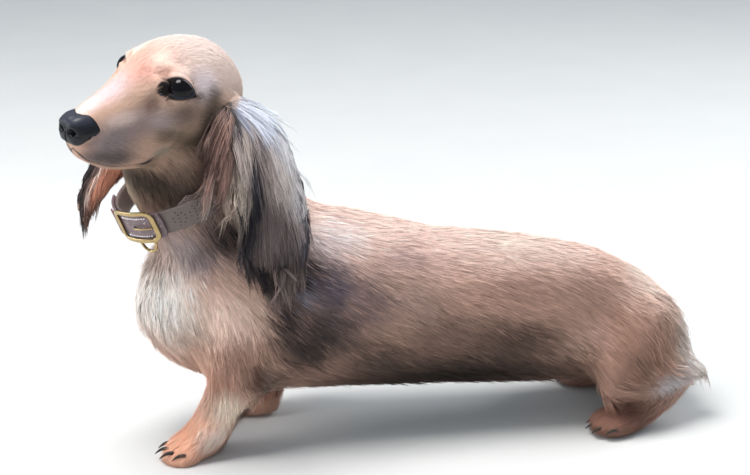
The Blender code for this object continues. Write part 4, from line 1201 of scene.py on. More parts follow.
def tuft_mesh(name, lines, sides, outs, width, tone, root_uv, flat, clinging):
    """Closed tapering tufts as one mesh.

    Each is a flat three-sided rod along its own line of points: every ring but the last
    has a left, a right and an outer corner, and the last is a single tip.  The patch of
    each on the OFBake map is a small square at its root's place.  Hair that clings is
    shaded by normals close to the skin's, loose hair (normals left at 0) by its own."""
    count, rings = lines.shape[:2]
    body = rings - 1
    shape = np.interp(np.linspace(0, 1, rings), (0, 0.35, 0.7, 1.0), (0.8, 1.0, 0.72, 0.0))
    half = (width[:, None] * shape[None, :body] / 2)[..., None]
    side, out = sides[:, :body], outs[:, :body]
    left = lines[:, :body] - side * half
    right = lines[:, :body] + side * half
    top = lines[:, :body] + out * half * 0.6
    points = np.stack([left, right, top], axis=2).reshape(count, body * 3, 3)
    points = np.concatenate([points, lines[:, -1:]], axis=1)
    turned = 0.6 if flat else 1.2
    shading = np.stack([out - turned * side, out + turned * side, out], axis=2)
    shading = shading.reshape(count, body * 3, 3)
    shading = unit(np.concatenate([shading, outs[:, -1:]], axis=1)) * clinging[:, None, None]
    each = body * 3 + 1
    k = np.arange(3)
    j = (k + 1) % 3
    quads = [np.stack([3 * i + k, 3 * i + j, 3 * i + 3 + j, 3 * i + 3 + k], -1)
             for i in range(body - 1)]
    quads = np.vstack(quads) if quads else NO_QUADS
    last = 3 * (body - 1)
    tips = np.stack([last + k, last + j, np.full(3, each - 1)], -1)
    tris = np.vstack([[(2, 1, 0)], tips])
    shift = (np.arange(count) * each)[:, None, None]
    made = new_piece(name, points.reshape(-1, 3), (quads[None] + shift).reshape(-1, 4),
                     (tris[None] + shift).reshape(-1, 3))
    along = np.concatenate([np.repeat(np.linspace(0, 1, rings)[:body], 3), [1.0]])
    across = np.concatenate([np.tile((-0.5, 0.5, 0.0), body), [0.0]])
    put_attribute(made, "along", np.tile(along, count))
    fibre = np.column_stack([np.tile(across, count), np.tile(along, count),
                             np.repeat(RANDOM.uniform(0, 99, count), each)])
    put_attribute(made, "fibre", fibre, "FLOAT_VECTOR")
    put_attribute(made, "tone", np.repeat(tone, each, axis=0), "FLOAT_COLOR")
    patch_uv = np.stack([across, along], -1) * UV_PATCH
    place = (root_uv[:, None] + patch_uv[None]).reshape(-1, 2)
    uv = made.data.uv_layers.new(name="OFBake")
    index = read(made.data.loops, "vertex_index", 1, np.int32)[:, 0]
    uv.data.foreach_set("uv", place[index].astype(np.float32).ravel())
    made.data.normals_split_custom_set_from_vertices(shading.reshape(-1, 3).tolist())
    return made


def drift(points):
    """A slow, smooth wandering of the hair's direction over the body, in radians."""
    x, y, z = points.T
    return 0.10 * (np.sin(0.055 * x + 0.09 * z + 1.3) + np.sin(0.11 * x - 0.05 * z + 0.08 * y)
                   + 0.6 * np.sin(0.23 * z + 0.17 * x))


BOX_LOW, BOX_HIGH = np.array(CAD_BOX) / MM
# the collar: its middle and tilt, its oval's half sizes, and its strap's section, in mm
COLLAR_AT = row((-142, -12, 187))
COLLAR_TURN = np.diag((-1.0, -1.0, 1.0)) @ turn("Y", 22) @ turn("X", -8)
COLLAR_DEEP, COLLAR_WIDE = 43.5, 41.0
STRAP_WIDTH, STRAP_THICK = 17.0, 2.4


def collar_place(points):
    """Distance along the neck from the collar's middle, and outwards from its inside."""
    local = (points - COLLAR_AT) @ COLLAR_TURN
    reach = np.hypot(local[..., 0] / COLLAR_DEEP, local[..., 1] / COLLAR_WIDE)
    size = np.hypot(local[..., 0], local[..., 1])
    return local[..., 2], size * (1 - 1 / np.maximum(reach, 1e-6)), local


def under_collar(lines):
    """Presses what would cross the strap down to its inner side."""
    along, out, local = collar_place(lines)
    inside = (np.abs(along) < STRAP_WIDTH / 2 + 1.5) & (out > -0.6) & (out < 16)
    size = np.hypot(local[..., 0], local[..., 1])
    scale = np.where(inside, (size - out - 0.6) / np.maximum(size, 1e-6), 1.0)
    pressed = local * np.stack([scale, scale, np.ones_like(scale)], -1)
    return pressed @ COLLAR_TURN.T + COLLAR_AT


def clear_of_eyes(roots):
    """False where a root lies inside the lids' dark rims or on the nose's leather."""
    local = to_head(roots)
    forward, _, far = nose_edge(local)
    free = ~((forward > -0.8) & (local[:, 0] > 40) & (far < 20))
    for side in EYE_SIDES:
        radius, off, around = eye_polar(roots, side)
        away = off - round_table(LIDS, around) - round_table(RIMS, around)
        free &= ~((away < 0.04 + 0.07 * (np.sin(around) > 0.3)) & (radius < 16))
    free &= eye_shade(roots) < 0.4
    return free


def followed(roots, normals, length, height, spec, comb, tree):
    """Each lock's line from its root along the combed field, in short steps.

    A step clings to the skin, which the lock rises from by a sine to its own height;
    long loose hair leaves the skin where it turns away.  With the lines come their
    outward and sideways directions and how far each lock has come loose."""
    count, steps = len(roots), spec["rings"] - 1
    sway = RANDOM.normal(0, spec["sway"], count) + spec["drift"] * drift(roots)
    bend = RANDOM.normal(0, spec["bend"], count)
    line, outs, sides = [roots], [normals], []
    here, out, freed = roots, normals, np.zeros(count)
    for i in range(1, steps + 1):
        s = i / steps
        way = comb(here, out)
        side = unit(np.cross(out, way))
        way = unit(way + side * (sway + bend * s)[:, None])
        sides.append(unit(np.cross(out, way)))
        ahead = here + way * (length / steps)[:, None]
        ahead[:, 2] -= spec["fall"] * s * length / steps
        touch, touch_out = on_skin(ahead, tree)
        rise = height * math.sin(math.pi / 2 * min(1, s * 1.2))
        gap = ahead - touch
        above = np.einsum("ij,ij->i", gap, touch_out)
        past = np.einsum("ij,ij->i", gap, way) / np.maximum(np.linalg.norm(gap, axis=1), 0.4)
        loose = (above > rise) * spec["free"] * ease((past - 0.3) / 0.4)
        freed = np.maximum(freed, loose)
        clung = touch + touch_out * rise[:, None]
        here = clung + (ahead - clung) * loose[:, None]
        out = unit(touch_out + (out - touch_out) * loose[:, None])
        line.append(here)
        outs.append(out)
    sides.append(sides[-1])
    line, outs, sides = (np.stack(a, axis=1) for a in (line, outs, sides))
    return line, outs, sides, freed


def parted(line, outs, sides, height, spec):
    """A lock's tufts: each is its line with a reach of its own, set beside it at the root,
    drawn together towards the tip, and curled by one turn of sine and cosine."""
    count, rings = line.shape[:2]
    tufts = spec["tufts"]
    s = np.linspace(0, 1, rings)[None, None, :, None]
    a, b = RANDOM.uniform(-1, 1, (2, count, tufts, 1, 1)) * spec["spread"]
    c = RANDOM.uniform(-0.45, 0.25, (count, tufts, 1, 1)) * height[:, None, None, None]
    gather = 1 - spec["gather"] * s
    step_way = unit(np.gradient(line, axis=1))[:, None]
    reach = RANDOM.uniform(0.75, 1.10, (count, tufts, 1, 1))
    many = line[:, None, :1] + (line[:, None] - line[:, None, :1]) * reach
    many = many + sides[:, None] * a * gather + step_way * b * 1.5 + outs[:, None] * c * s
    wave = RANDOM.uniform(0, 2 * math.pi, (count, 1, 1, 1)) + RANDOM.normal(
        0, 0.5, (count, tufts, 1, 1))
    curl = spec["curl"](line[:, 0])[:, None, None, None]
    many = many + sides[:, None] * (np.sin(wave + 4 * s) - np.sin(wave)) * s * curl
    many = many + outs[:, None] * (np.cos(wave + 4 * s) - np.cos(wave)) * s * curl * 0.4
    many = many - outs[:, None] * (1 - s) ** 3 * 0.35
    return many.reshape(count * tufts, rings, 3)


def grow(name, skin_data, mask, spec, comb, tone_of, uv_of):
    """Grows one coat piece from the skin's triangles that a mask picks: locks rooted evenly
    over them, each parted into tufts, pressed down under the collar, kept inside the
    solids' box, and coloured by the coat's marks and painted light a little below the middle of its
    length."""
    points, tris, tree = skin_data
    count = spec["locks"] // 1
    roots, normals = on_skin(sampled(points[tris[mask]], count), tree)
    if "keep" in spec:
        kept = spec["keep"](roots)
        roots, normals = roots[kept], normals[kept]
        count = len(roots)
    length = spec["length"](roots) * RANDOM.uniform(0.75, 1.15, count)
    height = spec["height"](roots) * RANDOM.uniform(*spec["lift"], count)
    line, outs, sides, freed = followed(roots, normals, length, height, spec, comb, tree)
    lines = parted(line, outs, sides, height, spec)
    total, tufts = len(lines), spec["tufts"]
    if spec["pressed"]:
        lines = under_collar(lines)
    lines = np.clip(lines, BOX_LOW + 0.4, BOX_HIGH - 0.4)
    widths = spec["width"] * RANDOM.uniform(0.7, 1.25, total)
    seat = RANDOM.normal(0, 1, (count, 1, 3)) + RANDOM.normal(0, 0.6, (count, tufts, 3))
    seat = lines[:, 0] * 0.45 + lines[:, -1] * 0.55 + seat.reshape(-1, 3) * spec["mix"]
    tone = tone_of(seat)
    grain, clump = spec["grain"]
    shade = RANDOM.normal(1, grain, total) * np.repeat(RANDOM.normal(1, clump, count), tufts)
    tone = np.clip(tone * shade[:, None], 0.004, 0.95)
    return tuft_mesh(name, lines, np.repeat(sides, tufts, axis=0),
                     np.repeat(outs, tufts, axis=0), widths, tone, uv_of(lines[:, 0]),
                     spec["free"] == 0, np.repeat(freed < 0.3, tufts))


def wrap_uv(points, start, end):
    """Place on an unwrap of the skin: the turn about an axis, and the way along it."""
    spine = end - start
    axis = unit(spine)
    along = (points - start) @ axis / np.linalg.norm(spine)
    first = unit(np.cross(axis, (0, 0.3, 1)))
    second = np.cross(axis, first)
    off = points - start
    about = np.arctan2(off @ second, off @ first) / (2 * math.pi) + 0.5
    return np.column_stack([UV_LOW + UV_SPAN * about, UV_LOW + UV_SPAN * np.clip(along, 0, 1)])


def flap_uv(points, name):
    """Place on an ear laid flat: across and down it, with its two faces side by side."""
    flap, down, across, _, off = ear_place(points, name)
    wide = np.clip(across / 1.6, -1, 1) * 0.5 + 0.5
    outer = off[:, 1] * (-1 if name == "ear_left" else 1) > 0
    third = outer + flap
    return np.column_stack([UV_LOW + 0.31 * wide + 0.33 * third, UV_LOW + UV_SPAN * down])


# ---------------------------------------------------------------- materials
def principled(name, **plain):
    """A new material with its Principled BSDF's own sockets set to plain values."""
    made = bpy.data.materials.new(name)
    made.use_nodes = True
    shader = made.node_tree.nodes["Principled BSDF"]
    for key, value in plain.items():
        shader.inputs[key.replace("_", " ")].default_value = value
    return made, made.node_tree, shader


def finished(made, shader, **sockets):
    """The material, with node outputs linked to the shader's inputs of those names."""
    for key, socket in sockets.items():
        made.node_tree.links.new(socket, shader.inputs[key.replace("_", " ")])
    return made


def stored(tree, name, output="Fac"):
    """A value, vector or colour that is stored on the mesh's points."""
    return node(tree, "ShaderNodeAttribute", attribute_name=name).outputs[output]


def own_place(tree):
    """The place on the object itself."""
    return node(tree, "ShaderNodeTexCoord").outputs["Object"]


def noise(tree, place, scale, detail, stretch=None, roughness=0.5):
    """Noise over a place, which may first be scaled along each axis."""
    if stretch:
        place = node(tree, "ShaderNodeMapping", {"Vector": place, "Scale": stretch}).outputs[0]
    return node(tree, "ShaderNodeTexNoise", {"Vector": place, "Scale": scale, "Detail": detail,
                                             "Roughness": roughness}).outputs["Fac"]


def cells(tree, place, scale):
    """Cells round scattered points: their Distance and one random Color for each."""
    return node(tree, "ShaderNodeTexVoronoi", {"Vector": place, "Scale": scale}).outputs


def carried(tree, value, low, high, start=0.0, end=1.0):
    """A value carried from the range start to end to the range low to high."""
    return node(tree, "ShaderNodeMapRange", {"Value": value, "From Min": start, "From Max": end,
                                             "To Min": low, "To Max": high}).outputs[0]


def worked(tree, operation, *values):
    """One step of arithmetic on values."""
    return node(tree, "ShaderNodeMath", enumerate(values), operation=operation).outputs[0]


def between(tree, share, dark, pale):
    """A colour between two, each a colour or a node's output, by a share."""
    ends = {6 + i: c if isinstance(c, bpy.types.NodeSocket) else (*c, 1)
            for i, c in enumerate((dark, pale))}
    return node(tree, "ShaderNodeMix", {"Factor": share, **ends}, data_type="RGBA").outputs[2]


def ramp(tree, share, *stops):
    """A colour read from stops, each a place from 0 to 1 and a colour."""
    made = node(tree, "ShaderNodeValToRGB", {"Fac": share})
    elements = made.color_ramp.elements
    for place, _ in stops[1:-1]:
        elements.new(place)
    for element, (_, colour) in zip(elements, stops):
        element.color = (*colour, 1.0)
    return made.outputs["Color"]


def dimmed(tree, colour, light):
    """A colour times a value."""
    return node(tree, "ShaderNodeVectorMath", {0: colour, "Scale": light},
                operation="SCALE").outputs[0]


def tilted(tree, height, strength, distance, **settings):
    """The normal tilted by the slope of a height, at its full rise in metres."""
    return node(tree, "ShaderNodeBump", {"Strength": strength, "Distance": distance,
                                         "Height": height}, **settings).outputs[0]


def hair_tone_group():
    """Shader group: a hair's colour from the coat's colours at its seat, darker at the root as
    painted shade in the depth of the coat, paler at the tip and streaked along its length, and the
    streaks' height for a bump."""
    tree = bpy.data.node_groups.new("hair_tone", "ShaderNodeTree")
    for name in ("Root", "Tip", "Streak"):
        tree.interface.new_socket(name, in_out="INPUT", socket_type="NodeSocketFloat")
    tree.interface.new_socket("Color", in_out="OUTPUT", socket_type="NodeSocketColor")
    tree.interface.new_socket("Height", in_out="OUTPUT", socket_type="NodeSocketFloat")
    source = node(tree, "NodeGroupInput").outputs
    streaks = noise(tree, stored(tree, "fibre", "Vector"), 1.0, 2.0, (5.0, 1.1, 1.0))
    level = carried(tree, stored(tree, "along"), source["Root"], source["Tip"])
    grain = worked(tree, "MULTIPLY", worked(tree, "SUBTRACT", streaks, 0.5), source["Streak"])
    colour = dimmed(tree, stored(tree, "tone", "Color"), worked(tree, "ADD", level, grain))
    node(tree, "NodeGroupOutput", {"Color": colour, "Height": streaks})
    return tree


HAIR_TONE = hair_tone_group()


def hair_material(name, root, tip, streak, roughness, sheen):
    """Hair: its colour, darkened by painted shade in the depth of the coat, with a soft gloss."""
    made, tree, shader = principled(name, Roughness=roughness, Specular_IOR_Level=0.16,
                                    Sheen_Weight=sheen, Sheen_Roughness=0.45)
    group = node(tree, "ShaderNodeGroup", {"Root": root, "Tip": tip, "Streak": streak},
                 node_tree=HAIR_TONE).outputs
    return finished(made, shader, Base_Color=group["Color"],
                    Normal=tilted(tree, group["Height"], 0.3, 0.0002))


def skin_material():
    """Skin under short flat hair: the coat's marks, painted shade and light, with fine streaks
    along the lie of the coat, taken from the combed direction stored on it."""
    made, tree, shader = principled("skin_fur", Roughness=0.7, Specular_IOR_Level=0.14,
                                    Sheen_Weight=0.05)
    streak = noise(tree, stored(tree, "lie", "Vector"), 1.0, 3.0, (0.28, 1.9, 1.9), 0.6)
    light = carried(tree, streak, 0.72, 1.12, 0.3, 0.7)
    return finished(made, shader, Base_Color=dimmed(tree, stored(tree, "tone", "Color"), light),
                    Normal=tilted(tree, streak, 0.5, 0.0004))


def eye_material():
    """Wet eye: black pupil, very dark brown iris with fine rays, a darker ring round it."""
    made, tree, shader = principled("eye_wet", Roughness=0.06, Specular_IOR_Level=0.2)
    rays = noise(tree, stored(tree, "rays", "Vector"), 1.0, 3.0, (9.0, 9.0, 1.2))
    tint = ramp(tree, stored(tree, "off"), (0.0, (0.002, 0.002, 0.003)),
                (0.15, (0.002, 0.002, 0.003)), (0.17, (0.0035, 0.0022, 0.0022)),
                (0.30, (0.003, 0.002, 0.002)), (0.35, (0.0015, 0.0015, 0.002)),
                (0.42, (0.002, 0.002, 0.004)), (1.0, (0.01, 0.008, 0.01)))
    return finished(made, shader, Base_Color=dimmed(tree, tint, carried(tree, rays, 0.5, 1.5)))


def pebbled(name, dark, pale, scale, depth, roughness, coat):
    """Moist skin of fine cells, with furrows between them; paler where its top is lit."""
    made, tree, shader = principled(name, Specular_IOR_Level=0.3, Coat_Weight=coat,
                                    Coat_Roughness=0.25)
    place = own_place(tree)
    clouds = noise(tree, place, scale / 6, 3.0)
    share = worked(tree, "MULTIPLY_ADD", clouds, 0.25, stored(tree, "top"))
    furrows = cells(tree, place, scale)["Distance"]
    return finished(made, shader, Base_Color=between(tree, share, dark, pale),
                    Roughness=carried(tree, clouds, roughness - 0.08, roughness + 0.08),
                    Normal=tilted(tree, furrows, 0.6, depth, invert=True))


def rim_material():
    """The lids' bare edge: black, with a painted highlight, the light on the wet line where it
    meets the eye.
    """
    made, tree, shader = principled("lid_rim", Roughness=0.4, Specular_IOR_Level=0.3,
                                    Coat_Weight=0.1, Coat_Roughness=0.2)
    # the margin's pale end is a painted highlight on the wet edge
    tint = ramp(tree, stored(tree, "margin"), (0.0, (0.003, 0.003, 0.006)),
                (0.5, (0.012, 0.014, 0.030)), (1.0, (0.42, 0.36, 0.38)))
    grain = noise(tree, own_place(tree), 1500.0, 2.0)
    return finished(made, shader, Base_Color=tint, Normal=tilted(tree, grain, 0.5, 0.0002))


def leather(name, dark, pale, glitter, roughness):
    """Fine-grained leather, of which a share glitters in specks."""
    made, tree, shader = principled(name)
    place = own_place(tree)
    tint = node(tree, "ShaderNodeSeparateColor", {"Color": cells(tree, place, 2600.0)["Color"]})
    speck = worked(tree, "GREATER_THAN", tint.outputs[0], 1 - glitter)
    base = between(tree, noise(tree, place, 160.0, 4.0), dark, pale)
    grain = cells(tree, place, 1800.0)["Distance"]
    return finished(made, shader, Base_Color=between(tree, speck, base, (0.80, 0.66, 0.66)),
                    Metallic=worked(tree, "MULTIPLY", speck, 0.9),
                    Roughness=carried(tree, speck, roughness, 0.2),
                    Normal=tilted(tree, grain, 0.5, 0.0002))


def gold_material():
    """Polished gilt metal with faint wear."""
    made, tree, shader = principled("gilt_metal", Metallic=1.0)
    wear = noise(tree, own_place(tree), 300.0, 4.0)
    return finished(made, shader, Roughness=carried(tree, wear, 0.14, 0.32),
                    Base_Color=between(tree, wear, (0.30, 0.21, 0.09), (0.56, 0.42, 0.22)))


def horn_material():
    """Black claw horn with paler, duller streaks along it."""
    made, tree, shader = principled("claw_horn", Specular_IOR_Level=0.25)
    grain = noise(tree, own_place(tree), 1.0, 3.0, (200.0, 1200.0, 1200.0))
    tint = between(tree, grain, (0.012, 0.010, 0.010), (0.055, 0.043, 0.036))
    return finished(made, shader, Base_Color=tint, Roughness=carried(tree, grain, 0.25, 0.5),
                    Normal=tilted(tree, grain, 0.3, 0.0002))


def stone_material():
    """Small cut glass stones, each with its own tint."""
    made, tree, shader = principled("cut_glass", Roughness=0.05, Metallic=0.6)
    tint = between(tree, cells(tree, own_place(tree), 600.0)["Distance"], (0.95, 0.88, 0.80),
                   (0.55, 0.50, 0.62))
    return finished(made, shader, Base_Color=tint)


def floor_material():
    """A plain pale floor with a faint cloud in it."""
    made, tree, shader = principled("pale_floor", Roughness=0.9)
    tint = between(tree, noise(tree, own_place(tree), 12.0, 2.0), (0.56, 0.57, 0.57),
                   (0.60, 0.61, 0.60))
    return finished(made, shader, Base_Color=tint)


# ---------------------------------------------------------------- eyes, nose, lips, claws
def dress(obj, look, slot, *nodes):
    """Gives a piece its material, lets it ride, and hides the solids it stands for."""
    obj.data.materials.clear()
    obj.data.materials.append(look)
    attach(obj, "root")
    if nodes:
        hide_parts(*nodes)
    return obj


def eyeball(side):
    """A ball with a slight bulge of the clear front round its gaze: rings at growing
    angles off the gaze."""
    off, around = np.linspace(0, math.pi, 34)[1:-1], circle(56)
    radius = EYEBALL + 0.65 * np.exp(-(off / 0.62) ** 4)
    grid = eye_place(side, off[:, None] + 0 * around, around[None] + 0 * off[:, None],
                     radius[:, None] + 0 * around)
    points, quads, tris = capped(grid)
    points[-2:] = eye_place(side, np.array((0, math.pi)), np.zeros(2), radius[[0, -1]])
    made = closed_piece("eyeball_" + EYE_SIDES[side], points, quads, tris)
    angle = np.concatenate([np.repeat(off, len(around)), [0.0, math.pi]])
    about = np.concatenate([np.tile(around, len(off)), [0.0, 0.0]])
    put_attribute(made, "off", angle / math.pi)
    put_attribute(made, "rays", np.column_stack([np.cos(about), np.sin(about), angle]),
                  "FLOAT_VECTOR")
    return made


def lid_rims(side):
    """The lids' bare edge as a closed ring round the opening: across it, it rises from the
    eyeball over a rounded margin and dips under the skin."""
    around = circle(120)
    edge, rim = round_table(LIDS, around), round_table(RIMS, around)
    # turn past the edge, share of the rim's width, height over the eyeball, share of the painted
    # wet highlight
    table = np.array((
        (-0.05, 0.0, -0.7, 0.2), (-0.02, 0.0, 0.05, 0.7), (0.01, 0.0, 0.36, 1.0),
        (0.03, 0.0, 0.52, 0.6), (0.04, 0.2, 0.66, 0.1), (0.04, 0.5, 0.74, 0.0),
        (0.03, 0.8, 0.80, 0.0), (0.03, 1.0, 0.62, 0.0), (0.07, 1.05, 0.0, 0.0),
        (0.04, 0.6, -1.2, 0.0), (-0.02, 0.2, -1.3, 0.0)))
    off = edge[None] + table[:, :1] + table[:, 1:2] * rim[None]
    grid = eye_place(side, off, around[None] + 0 * off, EYEBALL + table[:, 2:3] + 0 * off)
    made = ring_piece("lid_rims_" + EYE_SIDES[side], grid)
    # the painted wet highlight is strongest along the lower lid and towards the outer corner
    lower = 0.1 + 0.4 * ease(0.6 - np.sin(around + 0.4))
    outer = 0.9 * np.exp(-((np.degrees(around) - 165) / 42) ** 4)
    put_attribute(made, "margin", (table[:, 3:4] * np.maximum(lower, outer)[None]).ravel())
    return made


def tear_corner(side, tree):
    """The small dark lump in the eye's inner corner: a squashed ball set in the skin."""
    a, b = np.meshgrid(np.linspace(0, math.pi, 12)[1:-1], circle(18), indexing="ij")
    ball = np.stack([np.cos(a), np.sin(a) * np.cos(b), np.sin(a) * np.sin(b)], -1)
    gaze, ahead, up = eye_axes(side)
    at = eye_at(side) + 12.4 * ahead + 1.0 * up + 4 * gaze
    middle, _ = on_skin(from_head(at[None]), tree)
    return closed_piece("tear_corner_" + EYE_SIDES[side],
                        *capped(ball * (1.3, 0.9, 1.0) @ HEAD_TURN.T + middle))


def nose_leather():
    """The nose: a rounded cap carried from its edge on the skin to its tip.  From the edge
    the turn t runs 0 to 90 degrees; the reach shrinks as cos(t) to a power and the front
    advances as sin(t) to a power.  Wings swell at the sides, a groove runs down the
    middle, and the nostrils are pressed in and curl out to the sides."""
    angle = circle(128)
    fold = np.degrees(np.arcsin(np.sin(angle)))
    table = smooth_rows(NOSE_EDGE, 120)
    edge = np.interp(fold, table[:, 0], table[:, 1])[None]
    reach = np.interp(fold, table[:, 0], table[:, 2])[None]
    t = np.linspace(0, math.pi / 2, 52)[:-1, None]
    up = np.sin(angle)[None]
    bulge = 1 + 0.05 * np.sin(np.clip(t * 3, 0, math.pi)) * (1 - np.abs(up))
    power = 0.62 - 0.14 * np.maximum(up, 0)
    far = reach * bulge * np.cos(t) ** power
    forward = edge + (NOSE_TIP - edge) * np.sin(t) ** 0.8
    far = np.vstack([reach * 0.55, reach * 0.86, reach * 0.985, far])
    forward = np.vstack([edge - 4.5, edge - 2.2, edge - 0.7, forward])
    l, u = far * np.cos(angle), NOSE_AT[2] + far * up
    f = forward
    side = np.abs(l)
    front = ease((f - 60) / 5)
    groove = np.exp(-(l / 0.75) ** 2) * front * ease((-15.5 - u) / 3)
    hole = np.exp(-(((side - 5.3) / 2.5) ** 2 + ((u + 19.2) / 2.1) ** 2) ** 1.5) * front
    path = np.linspace(0, 1, 16)[:, None]
    slit = np.hstack([67 - 11.5 * path, 6.6 + 6.9 * np.sin(path * 1.5), -20.2 - 1.6 * path])
    near = ((np.stack([f, side, u], -1)[..., None, :] - slit) ** 2).sum(axis=-1).min(axis=-1)
    cut = np.exp(-near / 0.9) * (f > 54)
    over = np.exp(-((side - 7) / 4) ** 2 - ((u + 15.2) / 2.2) ** 2) * front
    q = np.stack([f, l, u], -1)
    inward = unit(np.array((54.0, 0, -18.0)) - q)
    q = q + inward * (1.5 * cut - 0.7 * over)[..., None]
    q[..., 0] -= 5.0 * hole + 1.0 * groove
    points, quads, tris = capped(from_head(q))
    made = closed_piece("nose_leather", points, quads, tris)
    local = to_head(points)
    # painted sheen: the top of the nose, where the light falls, is made paler
    put_attribute(made, "top", ease((local[:, 2] + 16.5) / 6) * ease((local[:, 0] - 50) / 6))
    return made


def lip_edges(tree):
    """The dark edge of the upper lip, from one corner of the mouth round to the other: a
    slim tube laid into the skin's groove."""
    line = smooth_rows(LIP, 70)
    both = np.vstack([line[::-1], (line * (1, -1, 1))[1:]])
    places, outs = on_skin(from_head(both), tree)
    for _ in range(3):
        places[1:-1] = (places[:-2] + 2 * places[1:-1] + places[2:]) / 4
    t = np.abs(np.linspace(-1, 1, len(both)))
    radius = 0.45 + 0.35 * np.exp(-((t - 0.93) / 0.08) ** 2)
    radius[[0, -1]] = 0.25
    return closed_piece("lip_edges", *tube(places - outs * 0.15, radius, 10))


def whiskers(tree):
    """Fine long hairs on the lips, chin and cheeks: thin tapering rods that bend
    back with the wind of the muzzle."""
    spots = [(48 - 6 * c, 13 + 1.3 * c, -27 - 4.2 * r - 0.5 * c) for r in range(3)
             for c in range(4)]
    spots += [(2, 33, -32), (48, 6, -48)]
    at = np.array(spots, float)
    at = np.vstack([at, at * (1, -1, 1)])
    roots, outs = on_skin(from_head(at), tree)
    count = len(roots)
    length = RANDOM.uniform(6, 13, count)
    back = unit(np.array((-1.0, 0, -0.25)) @ HEAD_TURN.T)
    t = np.linspace(0, 1, 8)[:, None]
    shells = []
    for i in range(count):
        way = unit(outs[i] * 0.75 + back * 0.7 + RANDOM.normal(0, 0.12, 3))
        line = roots[i] - outs[i] * 0.3 + way * length[i] * t
        line = line + back * length[i] * 0.35 * t ** 2 - np.array((0, 0, 1.0)) * t ** 2 * 1.5
        line = np.clip(line, BOX_LOW + 0.2, BOX_HIGH - 0.2)
        shells.append(tube(line, 0.07 * (1.05 - t[:, 0]), 5))
    return new_piece("whiskers", *joined(shells))


def claws():
    """All sixteen claws, drawn back into the toes' hair.  Each is a rod whose middle line
    runs from its solid's back to its tip and arches up by a sine, its radius falling as
    1 - s^2 to a blunt point."""
    names = [f"claw_{leg}_{side}_{toe}" for leg in ("fore", "hind")
             for side in ("left", "right") for toe in (1, 2, 3, 4)]
    s = np.linspace(0, 1, 12)[:, None]
    shells = []
    for name in names:
        low, high = (np.array(corner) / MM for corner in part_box(name))
        middle, size = (low + high) / 2, high - low
        root = middle + size * (0.5, 0, 0.02) + (4.4, 0, 0)
        tip = middle + size * (-0.46, 0, -0.40) + (4.2, 0, 0.3)
        line = root + (tip - root) * s + np.array((0, 0, 0.16)) * size[0] * np.sin(math.pi * s)
        shells.append(tube(line, 0.17 * size[1:].mean() * (1 - s[:, 0] ** 2) + 0.2, 12))
    points, quads, tris = joined(shells)
    points[:, 2] = np.maximum(points[:, 2], 0.1)
    return closed_piece("claws", points, quads, tris), names


# ---------------------------------------------------------------- the collar
def on_collar(angle, along, out):
    """Points on the collar: degrees from its front to the left, along the neck, and
    outwards from the strap's inside; the three broadcast against each other."""
    a, along, out = np.broadcast_arrays(np.radians(angle), along, out)
    ring = np.stack([COLLAR_DEEP * np.cos(a), COLLAR_WIDE * np.sin(a), 0 * a], -1)
    normal = unit(np.stack([np.cos(a) / COLLAR_DEEP, np.sin(a) / COLLAR_WIDE, 0 * a], -1))
    local = ring + normal * out[..., None] + np.stack([0 * a, 0 * a, along], -1)
    return local @ COLLAR_TURN.T + COLLAR_AT


def strap_profile(width, thick, seam):
    """Along and out of a strap's cross-section: rounded edges, a domed back and a shallow
    seam groove near each edge."""
    half = width / 2
    v = np.linspace(-1, 1, 41)
    edge = np.minimum(1, (1 - np.abs(v)) * half / 0.8)
    top = thick * (0.35 + 0.65 * np.sqrt(1 - (1 - edge) ** 2))
    top = top - 0.28 * np.exp(-(((np.abs(v) * half) - (half - seam)) / 0.35) ** 2)
    low = np.linspace(1, -1, 9)[1:-1]
    return (np.concatenate([v * half, low * half * 0.98]),
            np.concatenate([top, 0 * low]))


def band(name, start, end, width, inner, thick, steps, seam=1.7):
    """A strap carried round the collar's oval, closed on itself or capped at its ends."""
    closed = end - start >= 360
    along, out = strap_profile(width, thick, seam)
    angles = np.linspace(start, end, steps, endpoint=not closed)
    taper = np.ones(steps)
    if not closed:
        reach = np.minimum(np.arange(steps), np.arange(steps)[::-1]) * (end - start) / steps
        taper = np.sqrt(np.clip(1 - (1 - np.minimum(reach / 2.2, 1)) ** 2, 0.12, 1))
    grid = on_collar(angles[:, None], along[None] * taper[:, None], inner + out[None])
    return ring_piece(name, grid) if closed else closed_piece(name, *capped(grid))


def collar_axes(angle, along, out):
    """For small things set on the collar: columns round it, along it and outwards."""
    a = np.asarray(angle, float)
    here = on_collar(a, along, out)
    round_ = unit(on_collar(a + 1, along, out) - here)
    up = unit(on_collar(a, np.asarray(along) + 1, out) - here)
    return here, np.stack([round_, up, np.cross(round_, up)], -1)


# the buckle's turn round the collar in degrees; the rest in mm
BUCKLE_TURN, BUCKLE_WIDE, BUCKLE_TALL, BUCKLE_CORNER = 38.5, 30.0, 21.4, 5.0
BUCKLE_OUT, BUCKLE_BAR = 6.05, 1.65
MEAN_RADIUS = (COLLAR_DEEP + COLLAR_WIDE) / 2


